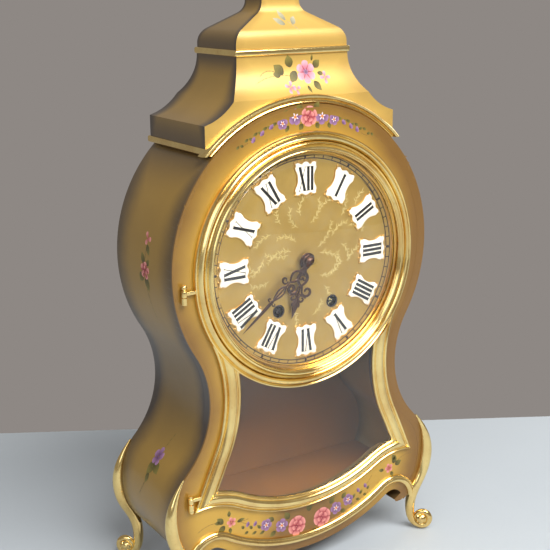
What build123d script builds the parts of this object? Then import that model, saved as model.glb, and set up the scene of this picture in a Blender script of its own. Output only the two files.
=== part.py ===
from build123d import *
import os
from math import asin, atan2, cos, degrees, radians, sin, sqrt, tan

os.makedirs("parts", exist_ok=True)

# ---------------------------------------------------------------- driving dimensions (mm)
# Frame: +X to the clock's right as seen from the front, +Y into the case, +Z up.
# The origin is on the table, under the middle of the case. Depths are counted
# from the case's front face with the function at_depth.
dial_z = 232.0            # height of the dial's centre above the table

# case
case_depth = 81.7         # front face to back edge of the side walls
crown_r = 104.2           # round top of the case
crown_rise = 3.0          # centre of that round above the dial's centre
waist_half = 78.8         # half-width at the waist
waist_r = 67.5            # hollow curve of the waist
belly_half = 110.5        # half-width at the belly
belly_r = 48.0            # round of the belly
side_drop = 205.0         # lower edge of the side walls below the dial's centre
wall_t = 6.0              # side walls
board_t = 8.0             # front board
base_t = 6.0              # floor board
base_drop = 191.0         # underside of the floor board below the dial's centre
back_t = 5.0              # back board
back_inset = 0.5          # back board's face inside the side walls' edge
snug = 0.15               # gap between wooden parts that are glued or pinned

# apron along the bottom of the front board
apron_drop = 211.0        # lowest point of the apron's upper trim line, at the middle
apron_peak_x = 79.0       # where the arch beside each foot is highest
apron_peak_drop = 187.9
apron_peak_r = 16.0
apron_end_deg = 35.0      # how far the arch turns down towards the foot
trim_w = 6.0              # brass strip along the apron
trim_t = 3.0

# glazed door
bezel_r = 89.5            # outside of the round bezel
bezel_roll_w = 6.5        # door frame's own roll around the bezel ring
door_waist_half = 69.0
door_waist_r = 92.0
door_flare_deg = 24.0     # straight flare of the door's sides below the waist
door_bar = 13.0           # width of the door's side bars
door_t = 4.0
door_gap = 0.3            # door to front board
door_low_drop = 183.0     # lowest point of the door's bottom edge
door_peak_x = 85.0
door_peak_drop = 161.3
door_peak_r = 50.0
light_low_drop = 171.3    # lowest point of the lower light
light_peak_x = 74.5
light_peak_drop = 151.5
light_peak_r = 35.0
rebate = 3.0              # how far a pane reaches under its frame
rebate_gap = 0.2
pane_t = 1.5
lip_t = 1.6               # metal left in front of a pane

# bezel ring with its domed glass
ring_inner_r = 76.3
ring_t = 6.0
glass_rise = 7.5
glass_t = 1.3

# dial
dial_hole_r = 80.0
dial_gap = 0.4
dial_depth = 3.0          # dial's face behind the case's front
dial_t = 1.2
surround_inner_r = 73.8
track_r = 71.8            # middle of the minute track
track_w = 2.6
track_t = 0.3
plaque_r = 57.0           # middle of the hour plaques
plaque_long = 24.0
plaque_wide = 18.0
plaque_t = 1.0
wind_x = 22.3             # winding arbors beside and below the dial's centre
wind_drop = 32.4
wind_hole_r = 3.6
dial_hub_r = 4.5

# hands
minute_len = 68.0
hour_len = 41.0
hand_t = 0.7
minute_deg = -232.0       # hands at about twenty-two minutes to seven
hour_deg = -199.0
hour_boss_r = 5.2
hour_hand_w = 5.0
minute_boss_r = 4.6
minute_hand_w = 4.2
nut_r = 3.6
nut_h = 2.6

# hood
hood_setback = 1.4        # hood's middle behind the case's middle
hood_half = 75.5
hood_front = 4.05         # hood's foot behind the case's front face
hood_foot = 83.6          # underside of the hood above the dial's centre
strip_h = 4.6             # brass strip under the hood
strip_w = 5.0             # width of its arch over the front
strip_front = 2.0         # how far the arch stands before the case's front
tier_r = 42.0             # hollow side curve of the lower tier
tier_front_r = 36.0       # hollow front curve of the lower tier
tier_top = 138.3          # underside of the cornice
tier_top_half = 44.2
tier_top_half_depth = 26.2
cornice_h = 4.5
cornice_over = 1.6
upper_half = 44.0
upper_half_depth = 25.6
shoulder_r = 11.2
shoulder_rise = 2.5       # straight rise before the shoulder turns
slope_deg = 27.6
neck_r = 9.0
neck_half = 14.8
neck_half_depth = 10.6
neck_h = 6.0
cap_half = 21.0
cap_half_depth = 16.0
cap_h = 11.0
finial_h = 26.0
finial_r = 8.0

# feet
strap_tip_drop = 138.5
strap_over = 5.0          # strap's thickness outside the belly
strap_front = 3.2         # strap's thickness before the front board
strap_back = 9.0          # how far the strap wraps round the side
strap_lap = 2.2           # how far it laps over the front
scroll_r = 9.5
scroll_w = 9.0
scroll_x = 105.5          # middle of a scroll from the clock's middle
scroll_out = 5.0          # middle of a scroll before the case's front
pad_cut = 0.5             # flat ground on each scroll
leg_r = 4.2
eye_r = 6.2

# hinges and catch
hinge_x = 97.5
hinge_out = 3.0
hinge_pin_r = 1.2
running = 0.05            # running clearance of a pin, shaft or arbor
knuckle_r = 2.0
knuckle_h = 4.5
hinge_drops = (9.0, 154.0)
hinge_ball_r = 1.9
button_drop = 70.0
button_depth = 11.0
button_r = 1.6
button_head_r = 3.0
button_travel = 2.5

# back door
back_door_half = 54.0
back_door_half_h = 66.0
back_door_lap = 4.0
back_door_t = 2.5
back_door_lift = -12.0    # middle of the back door from the dial's centre
back_door_round = 20.0

# movement
plate_half = 48.0
plate_top = 42.0
plate_bottom = 56.0
plate_t = 2.0
front_plate_depth = 16.0
plate_gap = 26.0          # between the two plates
pillar_r = 3.0
pillar_in = 5.0
arbor_r = 1.2
pivot_r = 0.8
backlash = 0.05           # extra centre distance of each gear pair


def at_depth(depth):
    return depth - case_depth / 2


def low(drop):
    return dial_z - drop


# ---------------------------------------------------------------- drawing helpers
def polar(centre, radius, angle):
    return (centre[0] + radius * cos(radians(angle)), centre[1] + radius * sin(radians(angle)))


def arc(centre, radius, start, end):
    """Three points of an arc, angles in degrees."""
    return (
        polar(centre, radius, start),
        polar(centre, radius, (start + end) / 2),
        polar(centre, radius, end),
    )


def edge(points):
    if len(points) == 2:
        return Line(points[0], points[1])
    return ThreePointArc(*points)


def face_of(paths):
    """A face from a list of lines (two points) and arcs (three points)."""
    wires = Wire.combine([edge(points) for points in paths], tol=1e-6)
    return Face(wires[0])


def mirrored(paths):
    """A face from its right half, drawn from the top to the bottom of the middle line."""
    left = [tuple((-x, z) for x, z in points) for points in paths]
    return face_of(list(paths) + left)


def slab(face, y0, y1):
    """The face, drawn in X and Z, as a solid from y0 to y1."""
    solid = extrude(face, amount=y1 - y0, dir=(0, 0, 1))
    return Plane.XZ * Pos(0, 0, -y1) * solid


def disc(x, z, radius, y0, y1):
    return slab(Pos(x, z, 0) * Circle(radius), y0, y1)


def ring(x, z, outer, inner, y0, y1):
    return disc(x, z, outer, y0, y1) - disc(x, z, inner, y0 - 1, y1 + 1)


def upright(x, y, radius, z0, z1):
    return Pos(x, y, z0) * extrude(Circle(radius), amount=z1 - z0, dir=(0, 0, 1))


def block(x0, x1, y0, y1, z0, z1):
    return Pos((x0 + x1) / 2, (y0 + y1) / 2, (z0 + z1) / 2) * Box(x1 - x0, y1 - y0, z1 - z0)


def save(name, *solids):
    group = Compound(children=[s for item in solids for s in item.solids()])
    export_step(group, "parts/" + name + ".step")


def teeth(count, module, bore, phase=0.0):
    """A spur wheel's face, a tooth's middle at angle phase, thin teeth for free running."""
    pitch = 360 / count
    tip = module * (count / 2 + 0.85)
    root = module * (count / 2 - 1.1)
    outline = []
    for i in range(count):
        middle = phase + i * pitch
        outline.append(polar((0, 0), root, middle - pitch * 0.27))
        outline.append(polar((0, 0), tip, middle - pitch * 0.12))
        outline.append(polar((0, 0), tip, middle + pitch * 0.12))
        outline.append(polar((0, 0), root, middle + pitch * 0.27))
    wheel = make_face(Polyline(*outline, close=True))
    return wheel - Circle(bore)


def wheel(place, count, module, bore, y0, y1, phase=0.0):
    return slab(Pos(place[0], place[1], 0) * teeth(count, module, bore, phase), y0, y1)


def angle_to(a, b):
    return degrees(atan2(b[1] - a[1], b[0] - a[0]))


def mesh_phase(driver, driven, count_driver, phase_driver, count_driven):
    """Phase that puts a gap of the driven wheel opposite the driver's tooth."""
    line = angle_to(driver, driven)
    pitch_driver = 360 / count_driver
    pitch_driven = 360 / count_driven
    offset = ((line - phase_driver) / pitch_driver) % 1.0
    return line + 180 + (0.5 + offset) * pitch_driven


def meet(a, b, from_a, from_b, side):
    """The point at two given distances from a and b, on the side asked for."""
    dx, dz = b[0] - a[0], b[1] - a[1]
    gap = sqrt(dx * dx + dz * dz)
    along = (gap * gap + from_a * from_a - from_b * from_b) / (2 * gap)
    across = side * sqrt(from_a * from_a - along * along)
    return (a[0] + (along * dx - across * dz) / gap, a[1] + (along * dz + across * dx) / gap)


# ---------------------------------------------------------------- outlines
crown = (0.0, dial_z + crown_rise)
waist_x = waist_half + waist_r
waist = (waist_x, crown[1] - sqrt((crown_r + waist_r) ** 2 - waist_x ** 2))
belly_x = belly_half - belly_r
belly = (belly_x, waist[1] - sqrt((waist_r + belly_r) ** 2 - (waist_x - belly_x) ** 2))
crown_end = angle_to(crown, waist)
belly_start = angle_to(belly, waist)


def case_arcs(inset, z_end):
    """Right half of the case's outline, moved inwards by inset, down to z_end."""
    reach = belly_r - inset
    last = degrees(asin((z_end - belly[1]) / reach))
    return [
        arc(crown, crown_r - inset, 90, crown_end),
        arc(waist, waist_r + inset, crown_end + 180, belly_start + 180),
        arc(belly, reach, belly_start, last),
    ]


def case_face(inset, z_end):
    paths = case_arcs(inset, z_end)
    paths.append((paths[-1][-1], (0.0, z_end)))
    return mirrored(paths)


def dip(low_drop, peak_x, peak_drop, peak_r):
    """Centres of the middle arc and of the arch beside it, and the middle arc's radius."""
    rise = low_drop - peak_drop
    both = (peak_x ** 2 + rise ** 2) / (2 * rise)
    middle_r = both - peak_r
    return (0.0, low(low_drop) + middle_r), (peak_x, low(peak_drop) - peak_r), middle_r


def dip_arcs(values, grow, end_deg):
    """The dip's right half, from its outer end to the middle, moved down by grow."""
    middle, arch, middle_r = dip(*values)
    turn = angle_to(arch, middle)
    return [
        arc(arch, values[3] - grow, end_deg, turn),
        arc(middle, middle_r + grow, turn + 180 - 360, -90),
    ]


def above(values, grow):
    """Everything above a dip, level beyond its arch."""
    span = 2 * belly_half
    paths = dip_arcs(values, grow, 90)
    peak = paths[0][0]
    return mirrored(
        [
            ((0.0, peak[1] + span), (span, peak[1] + span)),
            ((span, peak[1] + span), (span, peak[1])),
            ((span, peak[1]), peak),
        ]
        + paths
    )


apron = (apron_drop, apron_peak_x, apron_peak_drop, apron_peak_r)
door_low = (door_low_drop, door_peak_x, door_peak_drop, door_peak_r)
light_low = (light_low_drop, light_peak_x, light_peak_drop, light_peak_r)
door_top = (0.0, dial_z)
flare_x = door_waist_half + door_waist_r
flare = (flare_x, dial_z - sqrt((bezel_r + door_waist_r) ** 2 - flare_x ** 2))


def flare_face(inset):
    """The door's lower part between its two sides, well below its bottom edge."""
    start = angle_to(door_top, flare) + 180
    radius = door_waist_r + inset
    side = arc(flare, radius, start, 180 + door_flare_deg)
    x, z = side[-1]
    bottom = low(side_drop)
    foot = (x + (z - bottom) * tan(radians(door_flare_deg)), bottom)
    return mirrored(
        [
            ((0.0, side[0][1]), side[0]),
            side,
            (side[-1], foot),
            (foot, (0.0, bottom)),
        ]
    )


def bezel_circle(radius):
    return Pos(0, dial_z, 0) * Circle(radius)


def door_face(grow):
    return (flare_face(-grow) & above(door_low, grow)) + bezel_circle(bezel_r + grow)


def light_face(grow):
    """The lower light of the door, made wider all round by grow."""
    sides = flare_face(door_bar - grow)
    return (sides & above(light_low, grow)) - bezel_circle(bezel_r - grow)


# ---------------------------------------------------------------- case
def front_board():
    arcs = case_arcs(0, low(side_drop))
    lower = dip_arcs(apron, trim_w, apron_end_deg)
    outline = mirrored(arcs + [(arcs[-1][-1], lower[0][0])] + lower)
    board = slab(outline, at_depth(0), at_depth(board_t))
    board -= disc(0, dial_z, dial_hole_r, at_depth(-1), at_depth(board_t + 1))
    board -= slab(light_face(rebate + 1), at_depth(-1), at_depth(board_t + 1))
    return board


def case_shell():
    outer = case_face(0, low(side_drop))
    inner = case_face(wall_t, low(side_drop + 1))
    shell = slab(outer - inner, at_depth(board_t), at_depth(case_depth))
    x = belly_half
    hole = Rot(0, 90, 0) * extrude(Circle(button_r + running), amount=x, dir=(0, 0, 1))
    return shell - Pos(waist_half / 2, at_depth(button_depth), low(button_drop)) * hole


def inner_board(y0, y1, z0, z1):
    face = case_face(wall_t + snug, low(side_drop))
    return slab(face, y0, y1) & block(-belly_half, belly_half, y0, y1, z0, z1)


def base_board():
    z1 = low(base_drop) + base_t
    y1 = at_depth(case_depth - back_inset - back_t - snug)
    return inner_board(at_depth(board_t), y1, low(base_drop), z1)


def rounded(half, half_h, radius, y0, y1):
    face = Pos(0, dial_z + back_door_lift, 0) * RectangleRounded(2 * half, 2 * half_h, radius)
    return slab(face, y0, y1)


back_y0 = at_depth(case_depth - back_inset - back_t)
back_y1 = at_depth(case_depth - back_inset)


def back_board():
    board = inner_board(back_y0, back_y1, low(base_drop), dial_z + crown_r + crown_rise)
    return board - rounded(
        back_door_half - back_door_lap,
        back_door_half_h - back_door_lap,
        back_door_round - back_door_lap,
        back_y0 - 1,
        back_y1 + 1,
    )


def base_trim():
    upper = dip_arcs(apron, 0, apron_end_deg - 12)
    lower = dip_arcs(apron, trim_w, apron_end_deg - 12)
    paths = upper + lower
    paths.append((upper[0][0], lower[0][0]))
    band = mirrored(paths)
    strip = slab(band, at_depth(-trim_t), at_depth(0))
    front = strip.faces().sort_by(Axis.Y)[0]
    return chamfer(front.edges(), trim_t * 0.35)


# ---------------------------------------------------------------- hood
hood_y = hood_setback
hood_half_depth = hood_y - at_depth(hood_front)


def both_ways(side, front):
    """What a side-to-side profile and a front-to-back profile have in common."""
    span = 2 * crown_r
    across = slab(side, hood_y - span, hood_y + span)
    along = Plane.YZ * Pos(0, 0, -span) * extrude(front, amount=2 * span, dir=(0, 0, 1))
    return across & Pos(0, hood_y, 0) * along


def hollow_profile(half_low, half_top, radius, z0, z_top):
    """Right half: upright, then a hollow curve that ends upright at the top."""
    centre = (half_top + radius, z_top)
    drop = sqrt(radius ** 2 - (centre[0] - half_low) ** 2)
    start = 180 + degrees(asin(drop / radius))
    curve = arc(centre, radius, 180, start)
    return mirrored(
        [
            ((0.0, z_top), curve[0]),
            curve,
            (curve[-1], (half_low, z0)),
            ((half_low, z0), (0.0, z0)),
        ]
    )


def hood_lower():
    z0 = dial_z + hood_foot
    z1 = dial_z + tier_top
    side = hollow_profile(hood_half, tier_top_half, tier_r, z0, z1)
    front = hollow_profile(hood_half_depth, tier_top_half_depth, tier_front_r, z0, z1)
    body = both_ways(side, front)
    return body - disc(0, crown[1], crown_r + snug, at_depth(-1), at_depth(case_depth + 9))


def hood_strip():
    z0 = dial_z + hood_foot - strip_h
    z1 = dial_z + hood_foot
    front = hood_y - hood_half_depth
    back = hood_y + hood_half_depth
    over = 1.0
    cut = disc(0, crown[1], crown_r + snug, at_depth(-9), at_depth(case_depth + 9))
    y_front = at_depth(-strip_front)
    arch = disc(0, crown[1], crown_r + strip_w, y_front, front) - cut
    arch &= block(-hood_half - over, hood_half + over, y_front, front, z0, dial_z + crown_r * 2)
    rails = block(-hood_half - over, hood_half + over, y_front, back + over + 2.5, z0, z1) - cut
    return arch + rails


def hood_cornice():
    z0 = dial_z + tier_top
    half = tier_top_half + cornice_over
    half_depth = tier_top_half_depth + cornice_over
    body = block(-half, half, hood_y - half_depth, hood_y + half_depth, z0, z0 + cornice_h)
    return fillet(body.edges().filter_by(Axis.Z, reverse=True), cornice_h * 0.3)


def upper_profile(half, half_neck, z0):
    """Right half of the bell shape: shoulder, slope and hollow neck, in the width asked for."""
    share = (half - half_neck) / (upper_half - neck_half)
    turn = 90 - slope_deg
    shoulder = (upper_half - shoulder_r, z0 + shoulder_rise)
    out = arc(shoulder, shoulder_r, 0, turn)
    run = out[-1][0] - (neck_half + neck_r * (1 - cos(radians(turn))))
    neck_z = out[-1][1] + run * tan(radians(slope_deg)) + neck_r * sin(radians(turn))
    back = arc((neck_half + neck_r, neck_z), neck_r, 180 + turn, 180)
    paths = [
        ((0.0, z0), (upper_half, z0)),
        ((upper_half, z0), out[0]),
        out,
        (out[-1], back[0]),
        back,
        (back[-1], (neck_half, neck_z + neck_h)),
        ((neck_half, neck_z + neck_h), (0.0, neck_z + neck_h)),
    ]
    if share == 1.0:
        return mirrored(paths), neck_z + neck_h
    narrowed = [
        tuple((max(half_neck + (x - neck_half) * share, 0.0) if x else 0.0, z) for x, z in path)
        for path in paths
    ]
    curves = [Spline(*path) if len(path) == 3 else Line(*path) for path in narrowed]
    left = [mirror(curve, about=Plane.YZ) for curve in curves]
    return Face(Wire.combine(curves + left, tol=1e-6)[0]), neck_z + neck_h


upper_z0 = dial_z + tier_top + cornice_h
side_profile, neck_top = upper_profile(upper_half, neck_half, upper_z0)
front_profile = upper_profile(upper_half_depth, neck_half_depth, upper_z0)[0]


def hood_upper():
    return both_ways(side_profile, front_profile)


def hood_cap():
    """Flared cap on the neck."""
    z0 = neck_top
    low_face = Pos(0, hood_y, z0) * Rectangle(2 * neck_half, 2 * neck_half_depth)
    mid_face = Pos(0, hood_y, z0 + cap_h * 0.45) * Rectangle(
        2 * neck_half + 2.4, 2 * neck_half_depth + 2.4
    )
    top_face = Pos(0, hood_y, z0 + cap_h * 0.75) * Rectangle(2 * cap_half, 2 * cap_half_depth)
    body = loft([low_face, mid_face, top_face])
    lid = block(
        -cap_half,
        cap_half,
        hood_y - cap_half_depth,
        hood_y + cap_half_depth,
        z0 + cap_h * 0.75,
        z0 + cap_h,
    )
    return body + lid


def finial():
    """Turned knob: foot, neck and drop."""
    r, h = finial_r, finial_h
    points = [(r * 0.85, h * 0.06), (r * 0.4, h * 0.2), (r, h * 0.52), (r * 0.62, h * 0.8)]
    outline = Spline((r, 0), *points, (0, h), tangents=((0, 1), (-1, 0)))
    face = make_face([outline, Line((0, h), (0, 0)), Line((0, 0), (r, 0))])
    solid = revolve(Plane.XZ * face, axis=Axis.Z)
    return Pos(0, hood_y, neck_top + cap_h) * solid


# ---------------------------------------------------------------- feet
def foot():
    """Front right foot: strap on the case's corner, leg and scroll."""
    tip = (case_half_at(low(strap_tip_drop)) + 0.2, low(strap_tip_drop))
    wide = (belly_half + strap_over, belly[1])
    heel = (scroll_x + 1.0, low(side_drop + 4))
    outer = (tip, polar(belly, belly_r + strap_over, 28), wide)
    outer_low = (wide, polar(belly, belly_r + strap_over - 0.5, -28), heel)
    inner_heel = (heel[0] - 9.0, heel[1])
    inner = (inner_heel, polar(belly, belly_r - strap_lap, -8), tip)
    crescent = face_of([outer, outer_low, (heel, inner_heel), inner])
    strap = slab(crescent, at_depth(-strap_front), at_depth(strap_back))
    body = slab(case_face(-snug, low(side_drop) - snug), at_depth(-snug), at_depth(case_depth))
    arcs = case_arcs(-snug, low(side_drop))
    lower = dip_arcs(apron, trim_w + snug, apron_end_deg)
    panel = mirrored(arcs + [(arcs[-1][-1], lower[0][0])] + lower)
    strap -= body
    strap -= slab(panel, at_depth(-snug), at_depth(board_t))
    scroll_z = scroll_r - pad_cut
    centre = Vector(scroll_x, at_depth(-scroll_out), scroll_z)
    out = Vector(1, -1, 0).normalized()
    drum = Rot(0, 0, -45) * Rot(90, 0, 0) * Cylinder(scroll_r, scroll_w)
    eye = Rot(0, 0, -45) * Rot(90, 0, 0) * Cylinder(eye_r, scroll_w + 3)
    top = Vector(scroll_x - 4.0, at_depth(4.0), heel[1] + 3)
    bend = centre - out * (scroll_r + 1.0) + Vector(0, 0, scroll_r)
    toe = centre - out * (scroll_r - leg_r) - Vector(0, 0, scroll_r - leg_r - 1.5)
    path = Spline(top, bend, toe)
    leg = sweep(Plane(origin=path @ 0, z_dir=path % 0) * Circle(leg_r), path=path)
    whole = strap + leg + Pos(centre) * drum + Pos(centre) * eye
    ground = block(0, 2 * belly_half, -2 * case_depth, 2 * case_depth, -30, 0)
    whole -= ground
    whole -= body
    whole -= slab(panel, at_depth(-snug), at_depth(board_t))
    return whole


def case_half_at(z):
    """Half-width of the case at a height on the belly or waist."""
    rise = z - waist[1]
    split = belly[1] + belly_r * sin(radians(belly_start))
    if z > split:
        return waist[0] - sqrt(waist_r ** 2 - rise ** 2)
    return belly[0] + sqrt(belly_r ** 2 - (z - belly[1]) ** 2)


# ---------------------------------------------------------------- door
pane_front = -door_gap - pane_t - rebate_gap / 2


def door_frame():
    frame = slab(door_face(0) - light_face(0), at_depth(-door_gap - door_t), at_depth(-door_gap))
    frame -= disc(0, dial_z, bezel_r - bezel_roll_w, at_depth(-20), at_depth(5))
    frame -= slab(light_face(rebate), at_depth(pane_front - rebate_gap), at_depth(5))
    for drop in hinge_drops:
        frame += hinge_lug(drop)
    return frame


def hinge_z(drop):
    return low(drop) - knuckle_h


def hinge_lug(drop):
    """Knuckle on the door's edge, bored for the fixed pin."""
    y = at_depth(-hinge_out)
    z0 = hinge_z(drop) + knuckle_h + 0.2
    z1 = z0 + knuckle_h
    lug = upright(-hinge_x, y, knuckle_r, z0, z1)
    lug += block(-hinge_x, -hinge_x + 9.0, y - 0.9, y + 0.9, z0, z1)
    return lug - upright(-hinge_x, y, hinge_pin_r + running, z0 - 1, z1 + 1)


def hinge_brackets():
    """Fixed knuckles on the front board, each with its pin and a ball at its free end."""
    y = at_depth(-hinge_out)
    upper, lower = hinge_drops
    made = []
    for drop in (upper, lower):
        z0 = hinge_z(drop)
        top = z0 + 2 * knuckle_h + 1.6
        body = upright(-hinge_x, y, knuckle_r, z0, z0 + knuckle_h)
        body += block(-hinge_x - 1, -hinge_x + 1, y, at_depth(0), z0, z0 + knuckle_h)
        body += upright(-hinge_x, y, hinge_pin_r, z0, top)
        ball_z = top + 0.8 if drop == upper else z0 - 0.8
        made.append(body + Pos(-hinge_x, y, ball_z) * Sphere(hinge_ball_r))
    return made


def bezel_ring():
    outer = bezel_r - bezel_roll_w - 0.1
    back = -door_gap
    body = ring(0, dial_z, outer, ring_inner_r, at_depth(back - ring_t), at_depth(back))
    seat = ring_inner_r + rebate
    body -= disc(0, dial_z, seat, at_depth(back - ring_t + lip_t + 1.4), at_depth(back + 1))
    front = body.faces().sort_by(Axis.Y)[0]
    return chamfer(front.edges(), 1.2)


def dial_glass():
    """Domed pane: a cap of a sphere with a flat rim."""
    rim = ring_inner_r + rebate - rebate_gap
    base = glass_t
    radius = (ring_inner_r ** 2 + glass_rise ** 2) / (2 * glass_rise)
    bulge = sqrt(radius ** 2 - (ring_inner_r - 1) ** 2)
    outer = Pos(0, 0, -bulge) * Sphere(radius)
    inner = Pos(0, 0, -bulge) * Sphere(radius - glass_t)
    bowl = (outer - inner) & Pos(0, 0, glass_rise) * Cylinder(ring_inner_r - 1, 2 * glass_rise)
    flat = Pos(0, 0, base / 2) * (
        Cylinder(rim, base) - Cylinder(ring_inner_r - 3.0, 2 * base)
    )
    cap = bowl + flat
    y = at_depth(-door_gap - ring_t + lip_t + 1.5 + base)
    return Pos(0, y, dial_z) * Rot(90, 0, 0) * cap


def light_pane():
    y0 = at_depth(pane_front)
    return slab(light_face(rebate - rebate_gap), y0, y0 + pane_t)


def button():
    """Push button of the door's catch, through the right side of the case."""
    y, z = at_depth(button_depth), low(button_drop)
    x = case_half_at(z)
    along = Rot(0, 90, 0)
    stem = Pos(x - wall_t / 2, y, z) * along * Cylinder(button_r, wall_t + 2 * button_travel + 6)
    head = Pos(x + button_travel + 2.6, y, z) * along * Cylinder(button_head_r, 2.2)
    head = fillet(head.edges(), 0.9)
    collar = Pos(x - wall_t - 4.6, y, z) * along * Cylinder(button_head_r, 1.2)
    return stem + head + collar


# ---------------------------------------------------------------- dial
def dial_plate():
    outer = dial_hole_r - dial_gap
    plate = disc(0, dial_z, outer, at_depth(dial_depth), at_depth(dial_depth + dial_t))
    y0, y1 = at_depth(dial_depth - 1), at_depth(dial_depth + 5)
    plate -= disc(0, dial_z, dial_hub_r, y0, y1)
    for x in (-wind_x, wind_x):
        plate -= disc(x, low(wind_drop), wind_hole_r + 1.0, y0, y1)
    return plate


def grommets():
    y0, y1 = at_depth(dial_depth - 0.5), at_depth(dial_depth + dial_t)
    z, outer = low(wind_drop), wind_hole_r + 1.0
    return [ring(x, z, outer, wind_hole_r, y0, y1) for x in (-wind_x, wind_x)]


def dial_surround():
    outer = dial_hole_r - dial_gap
    body = ring(0, dial_z, outer, surround_inner_r, at_depth(0), at_depth(dial_depth))
    front_edges = body.edges().filter_by(GeomType.CIRCLE).group_by(Axis.Y)[0]
    return chamfer(front_edges.sort_by(SortBy.RADIUS)[0], dial_depth * 0.5)


def minute_track():
    y1 = at_depth(dial_depth)
    return ring(0, dial_z, track_r + track_w / 2, track_r - track_w / 2, y1 - track_t, y1)


def hour_plaques():
    made = []
    for hour in range(12):
        shape = RectangleRounded(plaque_wide, plaque_long, plaque_wide * 0.25)
        face = Rot(0, 0, -30 * hour) * Pos(0, plaque_r, 0) * shape
        y1 = at_depth(dial_depth)
        made.append(slab(Pos(0, dial_z, 0) * face, y1 - plaque_t, y1))
    return made


# ---------------------------------------------------------------- movement layout
centre = (0.0, dial_z)
going = (wind_x, low(wind_drop))
strike = (-wind_x, low(wind_drop))
barrel_n, wheel_n, pinion_n = 70, 60, 10
train_m = 0.6
barrel_reach = train_m * (barrel_n + pinion_n) / 2 + backlash
wheel_reach = train_m * (wheel_n + pinion_n) / 2 + backlash
second = meet(going, centre, barrel_reach, wheel_reach, -1)
lift = (-second[0], second[1])
centre_n, third_n, leaf_n = 64, 60, 8
fine_m = 0.5
third_reach = fine_m * (centre_n + leaf_n) / 2 + backlash
fourth_reach = fine_m * (third_n + leaf_n) / 2 + backlash
third = polar(centre, third_reach, 106)
fourth = polar(third, fourth_reach, 12)
fly_reach = train_m * (wheel_n + leaf_n) / 2 + backlash
fly_place = polar(lift, fly_reach, 122)
cannon_n, minute_n, minute_leaf_n, hour_n = 16, 48, 14, 56
motion_m = 0.5
motion_reach = motion_m * (cannon_n + minute_n) / 2 + backlash
hour_m = 2 * (motion_reach - backlash) / (minute_leaf_n + hour_n)
minute_place = polar(centre, motion_reach, -90)

front_y0 = at_depth(front_plate_depth)
front_y1 = front_y0 + plate_t
rear_y0 = front_y1 + plate_gap
rear_y1 = rear_y0 + plate_t
end_play = 0.2

wheel_t = 1.2
great_t = 2.0
front_wheel_y = front_y1 + 3.2
centre_wheel_y = front_y1 + 8.0
third_wheel_y = front_y1 + 12.0
lift_wheel_y = front_y1 + 0.5
fourth_wheel_y = rear_y0 - 8.0
fourth_n = 40
hub_bore = 1.0            # wheels' bores, inside their arbors
leaf_bore = 0.9
cannon_bore = 2.0
pillar_nut_h = 2.4
strap_half = 4.5          # half the width of a strap
strap_t = 2.0
dial_post_x = 38.0
dial_post_z = (22.0, -8.0)   # above and below the dial's centre
dial_post_r = 1.6
vane_half = 6.5
vane_t = 1.0
vane_in = 5.0             # fly's vane inside the plates
square_w = 3.4
square_end = at_depth(11.0)
ratchet_n = 24
ratchet_r = 8.6
ratchet_root = 7.4
ratchet_lean = 2.0        # degrees from a tooth's tip to its root
ratchet_y0, ratchet_y1 = at_depth(13.0), at_depth(14.6)
click_x, click_drop = 7.0, 9.6
click_eye_r = 1.9
click_w = 1.6
click_y0, click_y1 = at_depth(13.2), at_depth(14.4)
click_pin_r = 0.9
click_head_r = 1.7
click_reach = 9.3         # its tip from the winding arbor
click_tip_deg = 8.0
great_y = rear_y0 - 4.0

barrel_r = 19.0
barrel_arbor_r = 2.5
cannon_r = 2.1
pipe_r = 3.1
hour_pipe_front = 0.2
hour_hand_y = at_depth(hour_pipe_front)
minute_hand_y = at_depth(-0.8)
nut_len = 4.0


def arbor(place, radius, y0, y1):
    return disc(place[0], place[1], radius, y0, y1)


def pivoted(place):
    """An arbor between the plates with a thinner pivot in each plate."""
    body = arbor(place, arbor_r, front_y1 + end_play, rear_y0 - end_play)
    return body + arbor(place, pivot_r, front_y0, rear_y1)


def plate(y0, bores):
    height = plate_top + plate_bottom
    middle = dial_z + (plate_top - plate_bottom) / 2
    body = slab(Pos(0, middle, 0) * RectangleRounded(2 * plate_half, height, 6), y0, y0 + plate_t)
    for place, radius in bores:
        body -= disc(place[0], place[1], radius + running, y0 - 1, y0 + plate_t + 1)
    return body


small = [(place, pivot_r) for place in (second, lift, third, fourth, fly_place)]
wound = [(going, barrel_arbor_r), (strike, barrel_arbor_r)]


def front_plate():
    body = plate(front_y0, small + wound + [(centre, cannon_r)])
    stud = disc(minute_place[0], minute_place[1], arbor_r, at_depth(9.0), front_y0 + 0.5)
    return body + stud


def back_plate():
    hub = [(centre, arbor_r)]
    tail = [(place, pivot_r) for place in (escape_place, fork_place, balance_place)]
    return plate(rear_y0, small + wound + hub + tail)


def corners():
    x = plate_half - pillar_in
    heights = (dial_z + plate_top - pillar_in, low(plate_bottom) + pillar_in)
    return [(sx * x, z) for sx in (-1, 1) for z in heights]


def pillars():
    return [arbor(place, pillar_r, front_y1, rear_y0) for place in corners()]


def pillar_nuts():
    hexagon = RegularPolygon(pillar_r, 6)
    return [slab(Pos(*place, 0) * hexagon, rear_y1, rear_y1 + pillar_nut_h) for place in corners()]


def straps():
    """Two steel straps across the back of the front board that carry the movement."""
    made = []
    for z in sorted({place[1] for place in corners()}):
        half = dial_hole_r - 2.0
        z0, z1 = z - strap_half, z + strap_half
        made.append(block(-half, half, at_depth(board_t), at_depth(board_t + strap_t), z0, z1))
    return made


def strap_posts():
    return [arbor(place, pillar_r, at_depth(board_t + strap_t), front_y0) for place in corners()]


def dial_posts():
    back = at_depth(dial_depth + dial_t)
    places = [(x, dial_z + z) for x in (-dial_post_x, dial_post_x) for z in dial_post_z]
    return [arbor(place, dial_post_r, back, front_y0) for place in places]


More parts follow.
